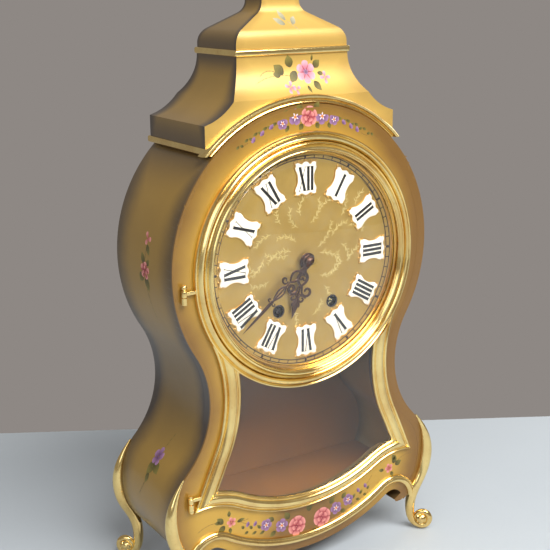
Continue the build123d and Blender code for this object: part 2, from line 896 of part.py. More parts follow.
# ---------------------------------------------------------------- wheels and arbors
phase_centre = 0.0
phase_second = mesh_phase(centre, second, pinion_n, phase_centre, wheel_n)
phase_barrel = mesh_phase(second, going, pinion_n, phase_second, barrel_n)
phase_third = mesh_phase(centre, third, centre_n, phase_centre, leaf_n)
phase_fourth = mesh_phase(third, fourth, third_n, phase_third, leaf_n)
phase_minute = mesh_phase(centre, minute_place, cannon_n, phase_centre, minute_n)
phase_hour = mesh_phase(minute_place, centre, minute_leaf_n, phase_minute, hour_n)
phase_strike = 0.0
phase_lift = mesh_phase(strike, lift, barrel_n, phase_strike, pinion_n)
phase_fly = mesh_phase(lift, fly_place, wheel_n, phase_lift, leaf_n)


def centre_arbor():
    """Centre arbor with its pinion and wheel, and the cannon that carries the minute hand."""
    body = arbor(centre, arbor_r, front_y0, rear_y1)
    body += arbor(centre, cannon_r, minute_hand_y, front_y1)
    y0, y1 = front_wheel_y - 0.8, front_wheel_y + wheel_t + 0.6
    body += wheel(centre, pinion_n, train_m, hub_bore, y0, y1, phase_centre)
    y0, y1 = centre_wheel_y, centre_wheel_y + wheel_t
    body += wheel(centre, centre_n, fine_m, hub_bore, y0, y1, phase_centre)
    y0, y1 = at_depth(13.0), at_depth(15.4)
    body += wheel(centre, cannon_n, motion_m, cannon_bore, y0, y1, phase_centre)
    return body + arbor(centre, cannon_r, minute_hand_y - nut_len + 0.6, minute_hand_y)


def second_wheel():
    body = pivoted(second)
    y0, y1 = front_wheel_y, front_wheel_y + wheel_t
    body += wheel(second, wheel_n, train_m, hub_bore, y0, y1, phase_second)
    y0, y1 = great_y - 1, great_y + great_t + 0.8
    return body + wheel(second, pinion_n, train_m, hub_bore, y0, y1, phase_second)


def barrel(place, phase):
    """Mainspring barrel with its great wheel, free on the winding arbor."""
    hole = barrel_arbor_r + running
    body = ring(place[0], place[1], barrel_r, hole, front_y1 + 6.0, great_y)
    return body + wheel(place, barrel_n, train_m, hole, great_y, great_y + great_t, phase)


def winding_arbor(place):
    """Squared winding arbor with its ratchet wheel."""
    tip = at_depth(dial_depth + 0.8)
    square = slab(Pos(*place, 0) * Rectangle(square_w, square_w), tip, square_end)
    body = arbor(place, barrel_arbor_r, square_end, rear_y1 + 1.0) + square
    outline = []
    for i in range(ratchet_n):
        angle = i * 360 / ratchet_n
        outline.append(polar((0, 0), ratchet_r, angle))
        outline.append(polar((0, 0), ratchet_root, angle + ratchet_lean))
    ratchet = make_face(Polyline(*outline, close=True))
    return body + slab(Pos(*place, 0) * ratchet, ratchet_y0, ratchet_y1)


def click_pivot(place, side):
    return (place[0] + side * click_x, place[1] - click_drop)


def click(place, side):
    """Pawl beside a ratchet wheel, on a stud in the front plate."""
    pivot = click_pivot(place, side)
    tip = polar(place, click_reach, -90 + side * click_tip_deg)
    body = slab(Pos(*pivot, 0) * Circle(click_eye_r), click_y0, click_y1)
    along = angle_to(pivot, tip)
    long = sqrt((tip[0] - pivot[0]) ** 2 + (tip[1] - pivot[1]) ** 2)
    bar = Pos(*pivot, 0) * Rot(0, 0, along) * Pos(long / 2, 0, 0) * Rectangle(long, click_w)
    body += slab(bar, click_y0, click_y1)
    return body - disc(*pivot, click_pin_r + running, click_y0 - 1, click_y1 + 1)


def click_screws():
    made = []
    for place, side in ((going, 1), (strike, -1)):
        pivot = click_pivot(place, side)
        stud = disc(*pivot, click_pin_r, click_y0 - 0.8, front_y0)
        made.append(stud + disc(*pivot, click_head_r, click_y0 - 1.0, click_y0 - 0.2))
    return made


def third_wheel():
    body = pivoted(third)
    y0, y1 = centre_wheel_y - 1, centre_wheel_y + wheel_t + 0.5
    body += wheel(third, leaf_n, fine_m, leaf_bore, y0, y1, phase_third)
    y0, y1 = third_wheel_y, third_wheel_y + wheel_t
    return body + wheel(third, third_n, fine_m, hub_bore, y0, y1, phase_third)


def fourth_wheel():
    body = pivoted(fourth)
    y0, y1 = third_wheel_y - 0.6, third_wheel_y + wheel_t + 1
    body += wheel(fourth, leaf_n, fine_m, leaf_bore, y0, y1, phase_fourth)
    y0, y1 = fourth_wheel_y, fourth_wheel_y + wheel_t
    return body + wheel(fourth, fourth_n, fine_m, hub_bore, y0, y1)


def lift_wheel():
    body = pivoted(lift)
    y0, y1 = great_y - 1, great_y + great_t + 0.8
    body += wheel(lift, pinion_n, train_m, hub_bore, y0, y1, phase_lift)
    y0, y1 = lift_wheel_y, lift_wheel_y + wheel_t
    return body + wheel(lift, wheel_n, train_m, hub_bore, y0, y1, phase_lift)


def fly():
    body = pivoted(fly_place)
    y0, y1 = lift_wheel_y - 0.2, lift_wheel_y + wheel_t + 0.8
    body += wheel(fly_place, leaf_n, train_m, leaf_bore, y0, y1, phase_fly)
    x, z = fly_place
    half = vane_t / 2
    y0, y1 = front_y1 + vane_in, rear_y0 - vane_in
    return body + block(x - vane_half, x + vane_half, y0, y1, z - half, z + half)


def minute_wheel():
    bore = arbor_r + running
    y0, y1 = at_depth(13.2), at_depth(14.8)
    body = wheel(minute_place, minute_n, motion_m, bore, y0, y1, phase_minute)
    y0, y1 = at_depth(9.6), at_depth(13.2)
    return body + wheel(minute_place, minute_leaf_n, hour_m, bore, y0, y1, phase_minute)


def hour_wheel():
    bore = cannon_r + running
    body = wheel(centre, hour_n, hour_m, bore, at_depth(10.0), at_depth(11.4), phase_hour)
    return body + ring(0, dial_z, pipe_r, bore, hour_hand_y, at_depth(12.4))


# ---------------------------------------------------------------- hands
def hand(length, eye, bore, y1, degrees_turned, width):
    """A pierced hand: boss, tapering blade with an open loop, and tip."""
    boss = Circle(eye)
    blade = make_face(
        Polyline(
            (-width * 0.3, 0),
            (-width, length * 0.35),
            (0, length),
            (width, length * 0.35),
            (width * 0.3, 0),
            close=True,
        )
    )
    window = Pos(0, length * 0.36, 0) * Circle(width * 0.62)
    shape = (boss + blade) - window - Circle(bore)
    face = Pos(0, dial_z, 0) * Rot(0, 0, degrees_turned) * shape
    return slab(face, y1 - hand_t, y1)


def hour_hand():
    return hand(hour_len, hour_boss_r, pipe_r, hour_hand_y + hand_t, hour_deg, hour_hand_w)


def minute_hand():
    y1 = minute_hand_y + 0.05
    return hand(minute_len, minute_boss_r, cannon_r, y1, minute_deg, minute_hand_w)


def hand_nut():
    y1 = minute_hand_y - hand_t
    nut = ring(0, dial_z, nut_r, cannon_r, y1 - nut_h, y1)
    front = nut.faces().sort_by(Axis.Y)[0]
    return chamfer(front.edges().sort_by(SortBy.RADIUS)[-1], 0.8)


# ---------------------------------------------------------------- escapement and strike
escape_place = (12.0, dial_z + 33.0)
fork_place = (2.5, dial_z + 35.0)
balance_place = (-10.0, dial_z + 33.0)
tail_t = 0.8              # escape wheel and fork
tail_y = rear_y1 + 3.0
escape_n, escape_m = 15, 0.7
fork_long, fork_short = 5.0, 1.6
cock_depth = 9.0
cock_t = 1.6
cock_half = 24.0
cock_leg_x = 22.0
cock_y = rear_y1 + cock_depth
balance_y = rear_y1 + 5.6
balance_r, balance_inner_r = 9.0, 7.6


def cock():
    """Bridge behind the back plate that carries the escapement's rear pivots."""
    z0, z1 = dial_z + 27, dial_z + 40
    body = block(-cock_half, cock_half, cock_y, cock_y + cock_t, z0, z1)
    for x in (-cock_leg_x, cock_leg_x):
        body += block(x - 2, x + 2, rear_y1, cock_y, z0 + 3, z1 - 3)
    for place in (escape_place, fork_place, balance_place):
        body -= disc(place[0], place[1], pivot_r + running, cock_y - 1, cock_y + 3)
    return body


def tail_arbor(place):
    body = arbor(place, arbor_r, rear_y1 + end_play, cock_y - end_play)
    return body + arbor(place, pivot_r, rear_y0, cock_y + cock_t)


def escape_wheel():
    teeth = wheel(escape_place, escape_n, escape_m, hub_bore, tail_y, tail_y + tail_t)
    return tail_arbor(escape_place) + teeth


def pallet_fork():
    x, z = fork_place
    bar = block(x - fork_long, x + fork_short, tail_y, tail_y + tail_t, z - 0.8, z + 0.8)
    return tail_arbor(fork_place) + bar


def balance():
    x, z = balance_place
    rim = ring(x, z, balance_r, balance_inner_r, balance_y, balance_y + 1.4)
    half = balance_inner_r + 0.2
    arms = block(x - half, x + half, balance_y, balance_y + 1.0, z - 0.8, z + 0.8)
    return tail_arbor(balance_place) + rim + arms


bell_r = 30.0
bell_t = 1.6
bell_height = 20.0        # crown to rim
bell_depth = 72.0
bell_drop = 14.0
bell_screw_r = 1.8
hammer_place = (34.0, dial_z + 12.0)
hammer_y = rear_y1 + 7.0
hammer_pin_r = 1.2
hammer_hub_r = 2.6
hammer_reach = 23.0       # head below its pin
hammer_head_r, hammer_head_len = 3.2, 6.0


def bell():
    shell = Sphere(bell_r) - Sphere(bell_r - bell_t)
    shell &= Pos(0, 0, bell_r) * Box(3 * bell_r, 3 * bell_r, 2 * bell_height)
    shell -= Cylinder(bell_screw_r + running, 3 * bell_r)
    y = at_depth(bell_depth) + 1.0 - bell_r
    return Pos(0, y, low(bell_drop)) * Rot(-90, 0, 0) * shell


def bell_post():
    place = (0, low(bell_drop))
    top = at_depth(bell_depth) - 0.8
    post = arbor(place, 5.0, rear_y1, rear_y1 + 1.2)
    post += arbor(place, 2.6, rear_y1 + 1.2, top)
    post += arbor(place, bell_screw_r, top, top + 4.0)
    return post + arbor(place, 3.6, top + 1.76, top + 3.7)


def hammer():
    x, z = hammer_place
    bore = hammer_pin_r + running
    body = ring(x, z, hammer_hub_r, bore, hammer_y - 2.5, hammer_y + 2.5)
    foot_z = z - hammer_reach + 2
    arm = block(x - 0.9, x + 0.9, hammer_y - 0.9, hammer_y + 0.9, foot_z, z - 2.2)
    head = Rot(0, 90, 0) * Cylinder(hammer_head_r, hammer_head_len)
    return body + arm + Pos(x - 1.0, hammer_y, z - hammer_reach) * head


def hammer_post():
    post = arbor(hammer_place, hammer_pin_r, rear_y1, hammer_y + 3.4)
    post += arbor(hammer_place, 2.4, rear_y1, hammer_y - 2.8)
    return post + arbor(hammer_place, 2.0, hammer_y + 2.8, hammer_y + 3.6)


# ---------------------------------------------------------------- back door
back_hinge_x = back_door_half + 4.0
back_hinge_y = back_y1 + door_gap + back_door_t
leaf_r = 2.2
leaf_t = 1.0
leaf_h = 6.0
leaf_pin_r = 1.0
leaf_apart = 36.0         # each hinge above or below the door's middle
turn_in = 8.0             # turn button inside the door's edge
turn_pin_r = 1.6
tongue_len = 12.0


def back_door():
    y0 = back_y1 + door_gap
    body = rounded(back_door_half, back_door_half_h, back_door_round, y0, y0 + back_door_t)
    z = dial_z + back_door_lift
    body -= disc(turn_in - back_door_half, z, turn_pin_r + running, y0 - 1, y0 + 9)
    return body


def back_leaves(moving):
    """Leaves of the back door's two hinges: the knuckles on the door, or those on the case."""
    made = []
    x = back_hinge_x
    y = back_hinge_y + leaf_r - leaf_t
    middle = dial_z + back_door_lift
    for z in (middle - leaf_apart, middle + leaf_apart):
        z0, z1 = (z + 0.2, z + leaf_h) if moving else (z - leaf_h, z)
        body = upright(x, y, leaf_r, z0, z1)
        if moving:
            body += block(x - 12, x, back_hinge_y, back_hinge_y + leaf_t, z0, z1)
            made.append(body - upright(x, y, leaf_pin_r + running, z - 1, z + 9))
        else:
            body += block(x, x + 9, back_y1, back_y1 + leaf_t, z0, z1)
            body += block(x - 0.2, x + 1.2, back_y1, y, z0, z1)
            made.append(body + upright(x, y, leaf_pin_r, z0, z + leaf_h + 0.4))
    return made


def back_turn():
    """Turn button of the back door; its tongue hangs clear of the back board at rest."""
    x, z = -back_door_half + turn_in, dial_z + back_door_lift
    y0, y1 = back_y0 - 2.2, back_y1 + door_gap + back_door_t
    body = disc(x, z, turn_pin_r, y0, y1 + 2.0)
    body += disc(x, z, 6.0, y1 + 0.1, y1 + 1.4)
    body += block(x - 0.9, x + 0.9, y1 + 1.4, y1 + 5, z - 5, z + 5)
    return body + block(x - 2.2, x + 2.2, y0, y0 + 1.8, z - tongue_len, z + 2.2)


# ---------------------------------------------------------------- write every piece
save("case_shell", case_shell())
save("front_board", front_board())
save("base_board", base_board())
save("back_board", back_board())
save("base_trim", base_trim())
save("hood_lower", hood_lower())
save("hood_strip", hood_strip())
save("hood_cornice", hood_cornice())
save("hood_upper", hood_upper())
save("hood_cap", hood_cap())
save("finial", finial())

right_front = foot()
left_front = mirror(right_front, about=Plane.YZ)
save("foot_front_right", right_front)
save("foot_front_left", left_front)
save("foot_back_right", mirror(right_front, about=Plane.XZ))
save("foot_back_left", mirror(left_front, about=Plane.XZ))

save("door_frame", door_frame())
save("bezel_ring", bezel_ring())
save("dial_glass", dial_glass())
save("lower_glass", light_pane())
save("door_hinge_brackets", *hinge_brackets())
save("door_button", button())

save("dial_plate", dial_plate())
save("dial_surround", dial_surround())
save("minute_track", minute_track())
save("hour_plaques", *hour_plaques())
save("winding_grommets", *grommets())
save("hour_hand", hour_hand())
save("minute_hand", minute_hand())
save("hand_nut", hand_nut())

save("front_plate", front_plate())
save("back_plate", back_plate())
save("plate_pillars", *pillars())
save("movement_screws", *pillar_nuts(), *click_screws())
save("movement_straps", *straps())
save("mounting_posts", *strap_posts(), *dial_posts())
save("centre_arbor", centre_arbor())
save("second_wheel", second_wheel())
save("going_barrel", barrel(going, phase_barrel))
save("strike_barrel", barrel(strike, phase_strike))
save("going_winding_arbor", winding_arbor(going))
save("strike_winding_arbor", winding_arbor(strike))
save("going_click", click(going, 1))
save("strike_click", click(strike, -1))
save("third_wheel", third_wheel())
save("fourth_wheel", fourth_wheel())
save("lift_wheel", lift_wheel())
save("fly", fly())
save("minute_wheel", minute_wheel())
save("hour_wheel", hour_wheel())
save("escapement_cock", cock())
save("escape_wheel", escape_wheel())
save("pallet_fork", pallet_fork())
save("balance", balance())
save("bell", bell())
save("strike_posts", bell_post(), hammer_post())
save("hammer", hammer())
save("back_door", back_door())
save("back_door_leaves", *back_leaves(True))
save("back_hinge_leaves", *back_leaves(False))
save("back_door_turn", back_turn())
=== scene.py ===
from math import atan2, cos, degrees, radians, sin, sqrt

import bpy
import bmesh
from mathutils import Matrix, Vector


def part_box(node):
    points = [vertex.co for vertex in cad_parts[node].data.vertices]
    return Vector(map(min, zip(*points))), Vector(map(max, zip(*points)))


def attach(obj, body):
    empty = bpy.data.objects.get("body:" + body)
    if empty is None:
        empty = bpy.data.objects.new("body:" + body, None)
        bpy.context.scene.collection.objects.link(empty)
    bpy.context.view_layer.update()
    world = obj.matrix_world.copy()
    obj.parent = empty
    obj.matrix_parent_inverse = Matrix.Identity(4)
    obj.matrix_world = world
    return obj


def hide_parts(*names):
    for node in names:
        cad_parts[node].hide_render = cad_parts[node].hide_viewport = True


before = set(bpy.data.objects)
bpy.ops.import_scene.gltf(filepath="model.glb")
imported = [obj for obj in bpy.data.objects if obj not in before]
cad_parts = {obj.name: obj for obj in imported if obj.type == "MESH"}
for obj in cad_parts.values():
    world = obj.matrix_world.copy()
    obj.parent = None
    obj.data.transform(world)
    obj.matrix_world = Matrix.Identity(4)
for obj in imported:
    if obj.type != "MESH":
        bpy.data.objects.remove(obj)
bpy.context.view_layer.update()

MM = 0.001
front_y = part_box("front_board")[0].y
back_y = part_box("case_shell")[1].y
dial_low, dial_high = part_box("dial_plate")
dial_z = (dial_low.z + dial_high.z) / 2
dial_y = dial_low.y
door_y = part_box("door_frame")[1].y
hood_y = (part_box("hood_lower")[0].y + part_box("hood_lower")[1].y) / 2


# ---------------------------------------------------------------- the case's outline (mm)
crown = (0.0, 235.0, 104.2)        # centre x, centre z, radius
waist = (146.3, 145.1, 67.5)
belly = (62.5, 65.65, 48.0)
side_foot = 27.0
crown_end = degrees(atan2(waist[1] - crown[1], waist[0] - crown[0]))
waist_end = 180 + degrees(atan2(waist[1] - belly[1], waist[0] - belly[0]))
crown_foot = crown[1] + crown[2] * sin(radians(crown_end))
waist_foot = waist[1] + waist[2] * sin(radians(waist_end))


def half_at(z):
    """Half-width of the case at a height, in mm."""
    if z > crown_foot:
        return sqrt(max(crown[2] ** 2 - (z - crown[1]) ** 2, 0.0))
    if z > waist_foot:
        return waist[0] - sqrt(waist[2] ** 2 - (z - waist[1]) ** 2)
    return belly[0] + sqrt(max(belly[2] ** 2 - (z - belly[1]) ** 2, 0.0))


# ---------------------------------------------------------------- modelling by hand
def rest_tools():
    """Back to object mode with nothing selected."""
    if bpy.context.object and bpy.context.object.mode != "OBJECT":
        bpy.ops.object.mode_set(mode="OBJECT")
    bpy.ops.object.select_all(action="DESELECT")


def only(piece):
    rest_tools()
    piece.select_set(True)
    bpy.context.view_layer.objects.active = piece


def pick_all():
    bpy.ops.mesh.select_all(action="SELECT")


def edit(piece=None):
    """Edit mode with the whole mesh selected; of a given piece or of the one just made."""
    if piece:
        only(piece)
    bpy.ops.object.mode_set(mode="EDIT")
    pick_all()


def loose_point(name, place):
    """A new mesh of one point, selected in edit mode. place in mm."""
    rest_tools()
    bpy.ops.mesh.primitive_plane_add(size=0.002)
    piece = bpy.context.object
    piece.name = name
    piece.data.name = name
    bpy.ops.object.mode_set(mode="EDIT")
    bpy.ops.mesh.select_mode(type="VERT")
    pick_all()
    bpy.ops.mesh.merge(type="CENTER")
    bpy.ops.transform.translate(value=Vector(place) * MM)
    return piece


def draw_by(move):
    """Extrudes what is selected by a move in mm."""
    bpy.ops.mesh.extrude_region_move(TRANSFORM_OT_translate={"value": Vector(move) * MM})


def turn(centre, angle, steps, y=0.0):
    """Carries what is selected round a centre (x, z) in mm, anticlockwise seen from the front."""
    bpy.ops.mesh.spin(
        steps=steps,
        angle=radians(angle),
        center=(centre[0] * MM, y, centre[1] * MM),
        axis=(0, 1, 0),
    )


def close_section():
    """Joins the last point drawn to the first."""
    mesh = bmesh.from_edit_mesh(bpy.context.object.data)
    mesh.verts.ensure_lookup_table()
    bpy.ops.mesh.select_all(action="DESELECT")
    ends = [v for v in mesh.verts if len(v.link_edges) == 1]
    for v in ends:
        v.select = True
    mesh.select_flush(True)
    bpy.ops.mesh.edge_face_add()
    pick_all()


def line_of(name, spots):
    """A new mesh of points joined in turn, left in edit mode; spots in mm."""
    piece = loose_point(name, spots[0])
    for before, after in zip(spots, spots[1:]):
        draw_by(after - before)
    return piece


def section(name, points, start, facing, y):
    """Draws a closed moulding section. points: (out, lift) in mm from the line it follows."""
    ca, sa = cos(radians(facing)), sin(radians(facing))
    spots = [Vector((start[0] + out * ca, y / MM - lift, start[1] + out * sa)) for out, lift in points]
    piece = line_of(name, spots)
    close_section()
    return piece


def slab(name, spots, thick):
    """An outline filled and drawn forward by thick."""
    piece = line_of(name, spots)
    pick_all()
    bpy.ops.mesh.edge_face_add()
    draw_by((0, -thick, 0))
    rest_tools()
    return piece


def apply(piece, kind, **settings):
    only(piece)
    modifier = piece.modifiers.new(kind.lower(), kind)
    for key, value in settings.items():
        setattr(modifier, key, value)
    bpy.ops.object.modifier_apply(modifier=modifier.name)


def cut(piece, place, normal, keep_below=True):
    """Cuts the piece with a plane, place in mm, and closes the cut."""
    edit(piece)
    bpy.ops.mesh.bisect(
        plane_co=Vector(place) * MM,
        plane_no=normal,
        use_fill=True,
        clear_outer=keep_below,
        clear_inner=not keep_below,
    )
    rest_tools()


def tidy(piece, smooth=35.0, fill=True, merge=0.00001):
    """Merges doubles, closes open ends, points the faces outward and smooths the round stretches."""
    edit(piece)
    bpy.ops.mesh.remove_doubles(threshold=merge)
    if fill:
        pick_all()
        bpy.ops.mesh.fill_holes(sides=0)
    pick_all()
    bpy.ops.mesh.normals_make_consistent(inside=False)
    bpy.ops.object.mode_set(mode="OBJECT")
    bpy.ops.object.shade_smooth_by_angle(angle=radians(smooth))
    return piece


def both_sides(piece):
    apply(piece, "MIRROR", use_axis=(True, False, False), merge_threshold=0.00002)
    return piece


def joined(name, pieces):
    only(pieces[0])
    for piece in pieces:
        piece.select_set(True)
    bpy.ops.object.join()
    pieces[0].name = name
    pieces[0].data.name = name
    return pieces[0]


def duplicate(piece, name):
    """A copy of a piece with its own mesh."""
    copy = piece.copy()
    copy.data = piece.data.copy()
    copy.name = name
    bpy.context.scene.collection.objects.link(copy)
    return copy


def lying_round(radius, deep, sides, y, z):
    """A cylinder along Y with its middle at (0, y, z); radius and deep in mm."""
    rest_tools()
    bpy.ops.mesh.primitive_cylinder_add(
        vertices=sides, radius=radius * MM, depth=deep * MM, rotation=(radians(90), 0, 0)
    )
    piece = bpy.context.object
    piece.data.transform(piece.matrix_world)
    piece.matrix_world = Matrix.Identity(4)
    piece.data.transform(Matrix.Translation((0, y, z)))
    return piece


def bore(piece, radius, deep, y, z):
    """Cuts a round along Y out of a piece."""
    tool = lying_round(radius, deep, 256, y, z)
    apply(piece, "BOOLEAN", operation="DIFFERENCE", object=tool, solver="EXACT")
    bpy.data.objects.remove(tool)


def clockwise(angle):
    """The turn by an angle round the dial's centre, as seen from the front."""
    middle = Vector((0, 0, dial_z))
    turned = Matrix.Rotation(radians(angle), 4, "Y")
    return Matrix.Translation(middle) @ turned @ Matrix.Translation(-middle)


def settle(piece, body, slot, material, *nodes):
    """Gives a finished piece its finish and its body, and hides the solids it stands for."""
    piece.data.materials.clear()
    piece.data.materials.append(material)
    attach(piece, body)
    if nodes:
        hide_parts(*nodes)
    return piece


# ---------------------------------------------------------------- material workshop
def is_socket(value):
    return isinstance(value, bpy.types.NodeSocket)


def feed(made, feeds):
    """Links or sets the inputs of a node."""
    for key, value in feeds.items():
        if is_socket(value):
            made.id_data.links.new(value, made.inputs[key])
        else:
            made.inputs[key].default_value = value


def node(tree, kind, feeds=None, **settings):
    made = tree.nodes.new(kind)
    for key, value in settings.items():
        setattr(made, key, value)
    feed(made, feeds or {})
    return made


def tree_of(*values):
    """The node tree of the first socket among the values."""
    return next(value for value in values if is_socket(value)).id_data


def calc(operation, a, b=0.0, clamp=False):
    feeds = {0: a, 1: b}
    return node(tree_of(a, b), "ShaderNodeMath", feeds, operation=operation, use_clamp=clamp).outputs[0]


def add(a, b, clamp=False):
    return calc("ADD", a, b, clamp)


def less(a, b):
    return calc("SUBTRACT", a, b)


def times(a, b):
    return calc("MULTIPLY", a, b)


def most(a, b, clamp=False):
    return calc("MAXIMUM", a, b, clamp)


def band(value, low, high):
    """0 below low, 1 above high, smooth between."""
    feeds = {0: value, 1: low, 2: high}
    return node(value.id_data, "ShaderNodeMapRange", feeds, interpolation_type="SMOOTHSTEP").outputs[0]


def below(value, low, high):
    """1 below low, 0 above high, smooth between."""
    return less(1.0, band(value, low, high))


def blend(share, first, second, kind="MIX"):
    feeds = {0: share, 6: first, 7: second}
    tree = tree_of(share, first, second)
    return node(tree, "ShaderNodeMix", feeds, data_type="RGBA", blend_type=kind).outputs[2]


def clouds(place, scale, detail=3.0, rough=0.55):
    feeds = {"Vector": place, "Scale": scale, "Detail": detail, "Roughness": rough}
    return node(place.id_data, "ShaderNodeTexNoise", feeds).outputs[0]


def drifting(place, scale, reach):
    """Clouds that move an edge by up to half of reach either way."""
    return times(less(clouds(place, scale), 0.5), reach)


def axes(place):
    return node(place.id_data, "ShaderNodeSeparateXYZ", {0: place}).outputs


def kept_value(tree, name):
    return node(tree, "ShaderNodeAttribute", attribute_name=name).outputs["Fac"]


def rough_from(marks, spread, least):
    """Roughness that follows marks of 0 to 1, from least to least + spread."""
    made = calc("MULTIPLY_ADD", marks, spread)
    made.node.inputs[2].default_value = least
    return made


def bump(height, strength):
    feeds = {"Height": height, "Strength": strength, "Distance": 0.2 * MM}
    return node(height.id_data, "ShaderNodeBump", feeds).outputs[0]


def rgb(red, green, blue):
    """A colour given as seen, 0 to 255, for the shader."""

    def linear(c):
        c /= 255.0
        return c / 12.92 if c <= 0.04045 else ((c + 0.055) / 1.055) ** 2.4

    return (linear(red), linear(green), linear(blue), 1.0)


def group(name, wanted, given):
    """An empty shader node group. wanted and given: {socket name: (type, value)}."""
    tree = bpy.data.node_groups.new(name, "ShaderNodeTree")
    for key, (kind, value) in wanted.items():
        socket = tree.interface.new_socket(key, in_out="INPUT", socket_type="NodeSocket" + kind)
        if value is not None:
            socket.default_value = value
    for key, kind in given.items():
        tree.interface.new_socket(key, in_out="OUTPUT", socket_type="NodeSocket" + kind)
    return tree, tree.nodes.new("NodeGroupInput").outputs, tree.nodes.new("NodeGroupOutput").inputs


def mottling_group():
    """Uneven hand: broad clouds and fine specks, as a colour change and a bump height."""
    tree, come, go = group(
        "uneven finish",
        {
            "Place": ("Vector", None),
            "Colour": ("Color", (0.8, 0.8, 0.8, 1.0)),
            "Shade": ("Color", (0.4, 0.4, 0.4, 1.0)),
            "Broad Scale": ("Float", 18.0),
            "Broad Amount": ("Float", 0.3),
            "Speck Scale": ("Float", 900.0),
            "Speck Amount": ("Float", 0.1),
        },
        {"Colour": "Color", "Height": "Float", "Clouds": "Float"},
    )
    broad = clouds(come["Place"], come["Broad Scale"], 4.0, 0.6)
    specks = clouds(come["Place"], come["Speck Scale"], 2.0, 0.7)
    patch = times(band(broad, 0.35, 0.7), come["Broad Amount"])
    dots = times(band(specks, 0.5, 0.75), come["Speck Amount"])
    share = add(patch, dots, clamp=True)
    tree.links.new(blend(share, come["Colour"], come["Shade"]), go["Colour"])
    tree.links.new(add(specks, times(broad, 0.5)), go["Height"])
    tree.links.new(broad, go["Clouds"])
    return tree


def rubbed_group():
    """Fine rubbing lines left by polishing, drawn out along one direction."""
    tree, come, go = group(
        "polishing lines",
        {"Place": ("Vector", None), "Stretch": ("Vector", (1.0, 1.0, 1.0)), "Scale": ("Float", 300.0)},
        {"Lines": "Float"},
    )
    feeds = {0: come["Place"], 1: come["Stretch"]}
    drawn = node(tree, "ShaderNodeVectorMath", feeds, operation="MULTIPLY").outputs[0]
    tree.links.new(clouds(drawn, come["Scale"], 3.0, 0.65), go["Lines"])
    return tree


uneven = mottling_group()
rubbed = rubbed_group()


def unevenly(place, colour, shade, broad, broad_amount, specks, speck_amount):
    """The shared uneven finish over a colour: its outputs."""
    feeds = {
        "Place": place,
        "Colour": colour,
        "Shade": shade,
        "Broad Scale": broad,
        "Broad Amount": broad_amount,
        "Speck Scale": specks,
        "Speck Amount": speck_amount,
    }
    return node(place.id_data, "ShaderNodeGroup", feeds, node_tree=uneven).outputs


def polishing_lines(place, stretch, scale):
    feeds = {"Place": place, "Stretch": stretch, "Scale": scale}
    return node(place.id_data, "ShaderNodeGroup", feeds, node_tree=rubbed).outputs["Lines"]


def material(name):
    """A new material, its shader and the object's coordinates."""
    made = bpy.data.materials.new(name)
    made.use_nodes = True
    place = node(made.node_tree, "ShaderNodeTexCoord").outputs["Object"]
    return made, made.node_tree.nodes["Principled BSDF"], place


def bright_metal(name, colour, shade, rough, spread, tarnish=0.35, stretch=(1, 1, 1)):
    """Polished or satin metal with tarnish clouds and polishing lines."""
    made, shader, place = material(name)
    out = unevenly(place, colour, shade, 26.0, tarnish, 700.0, tarnish * 0.5)
    lines = polishing_lines(place, stretch, 420.0)
    feed(shader, {
        "Base Color": out["Colour"],
        "Roughness": rough_from(lines, spread, rough - spread * 0.5),
        "Metallic": 1.0,
        "Coat Weight": 0.2,
        "Coat Roughness": 0.08,
        "Normal": bump(add(lines, out["Height"]), 0.06),
    })
    return made


def glass_finish(name, tint, smear):
    """Clear pane that lets the lamps reach what is behind it."""
    made, shader, place = material(name)
    tree = made.node_tree
    haze = clouds(place, 22.0, 4.0, 0.6)
    feed(shader, {
        "Roughness": times(band(haze, 0.45, 0.8), smear),
        "Base Color": blend(haze, (1, 1, 1, 1), tint),
        "Transmission Weight": 1.0,
        "IOR": 1.45,
        "Metallic": 0.0,
    })
    clear = node(tree, "ShaderNodeBsdfTransparent", {"Color": tint}).outputs[0]
    shadow = node(tree, "ShaderNodeLightPath").outputs["Is Shadow Ray"]
    mixed = node(tree, "ShaderNodeMixShader", {0: shadow, 1: shader.outputs[0], 2: clear})
    feed(tree.nodes["Material Output"], {"Surface": mixed.outputs[0]})
    return made


def outline_distance(place):
    """How far inside the case's outline a point of the front lies, its depth and its height, in mm."""
    parts = axes(place)
    x = times(calc("ABSOLUTE", parts[0]), 1000.0)
    z = times(parts[2], 1000.0)

    def reach(centre):
        dx, dz = less(x, centre[0]), less(z, centre[1])
        return calc("SQRT", add(times(dx, dx), times(dz, dz)))

    def choose(limit, under, over):
        feeds = {0: calc("GREATER_THAN", z, limit), 2: under, 3: over}
        return node(z.id_data, "ShaderNodeMix", feeds, data_type="FLOAT").outputs[0]

    top = less(crown[2], reach(crown))
    middle = less(reach(waist), waist[2])
    low = less(belly[2], reach(belly))
    inside = choose(crown_foot, choose(waist_foot, low, middle), top)
    depth = times(less(parts[1], front_y), 1000.0)
    return inside, depth, z


gold_front = rgb(198, 156, 60)
# painted highlight: the hood's front gold is lighter than the case's front, for the light its front
# reflects
hood_gold_and_highlight = rgb(218, 180, 92)
brown_edge = rgb(112, 74, 32)
ochre_side = rgb(160, 126, 56)
smoke_edge = rgb(66, 54, 46)


def finish_paint(shader, place, colour):
    """Satin varnish over a painted colour."""
    shade = blend(1.0, colour, (0.62, 0.58, 0.5, 1.0), "MULTIPLY")
    out = unevenly(place, colour, shade, 14.0, 0.22, 1500.0, 0.12)
    feed(shader, {
        "Base Color": out["Colour"],
        "Roughness": rough_from(out["Clouds"], 0.12, 0.3),
        "Metallic": 0.3,
        "Coat Weight": 0.6,
        "Coat Roughness": 0.24,
        "Normal": bump(out["Height"], 0.05),
    })


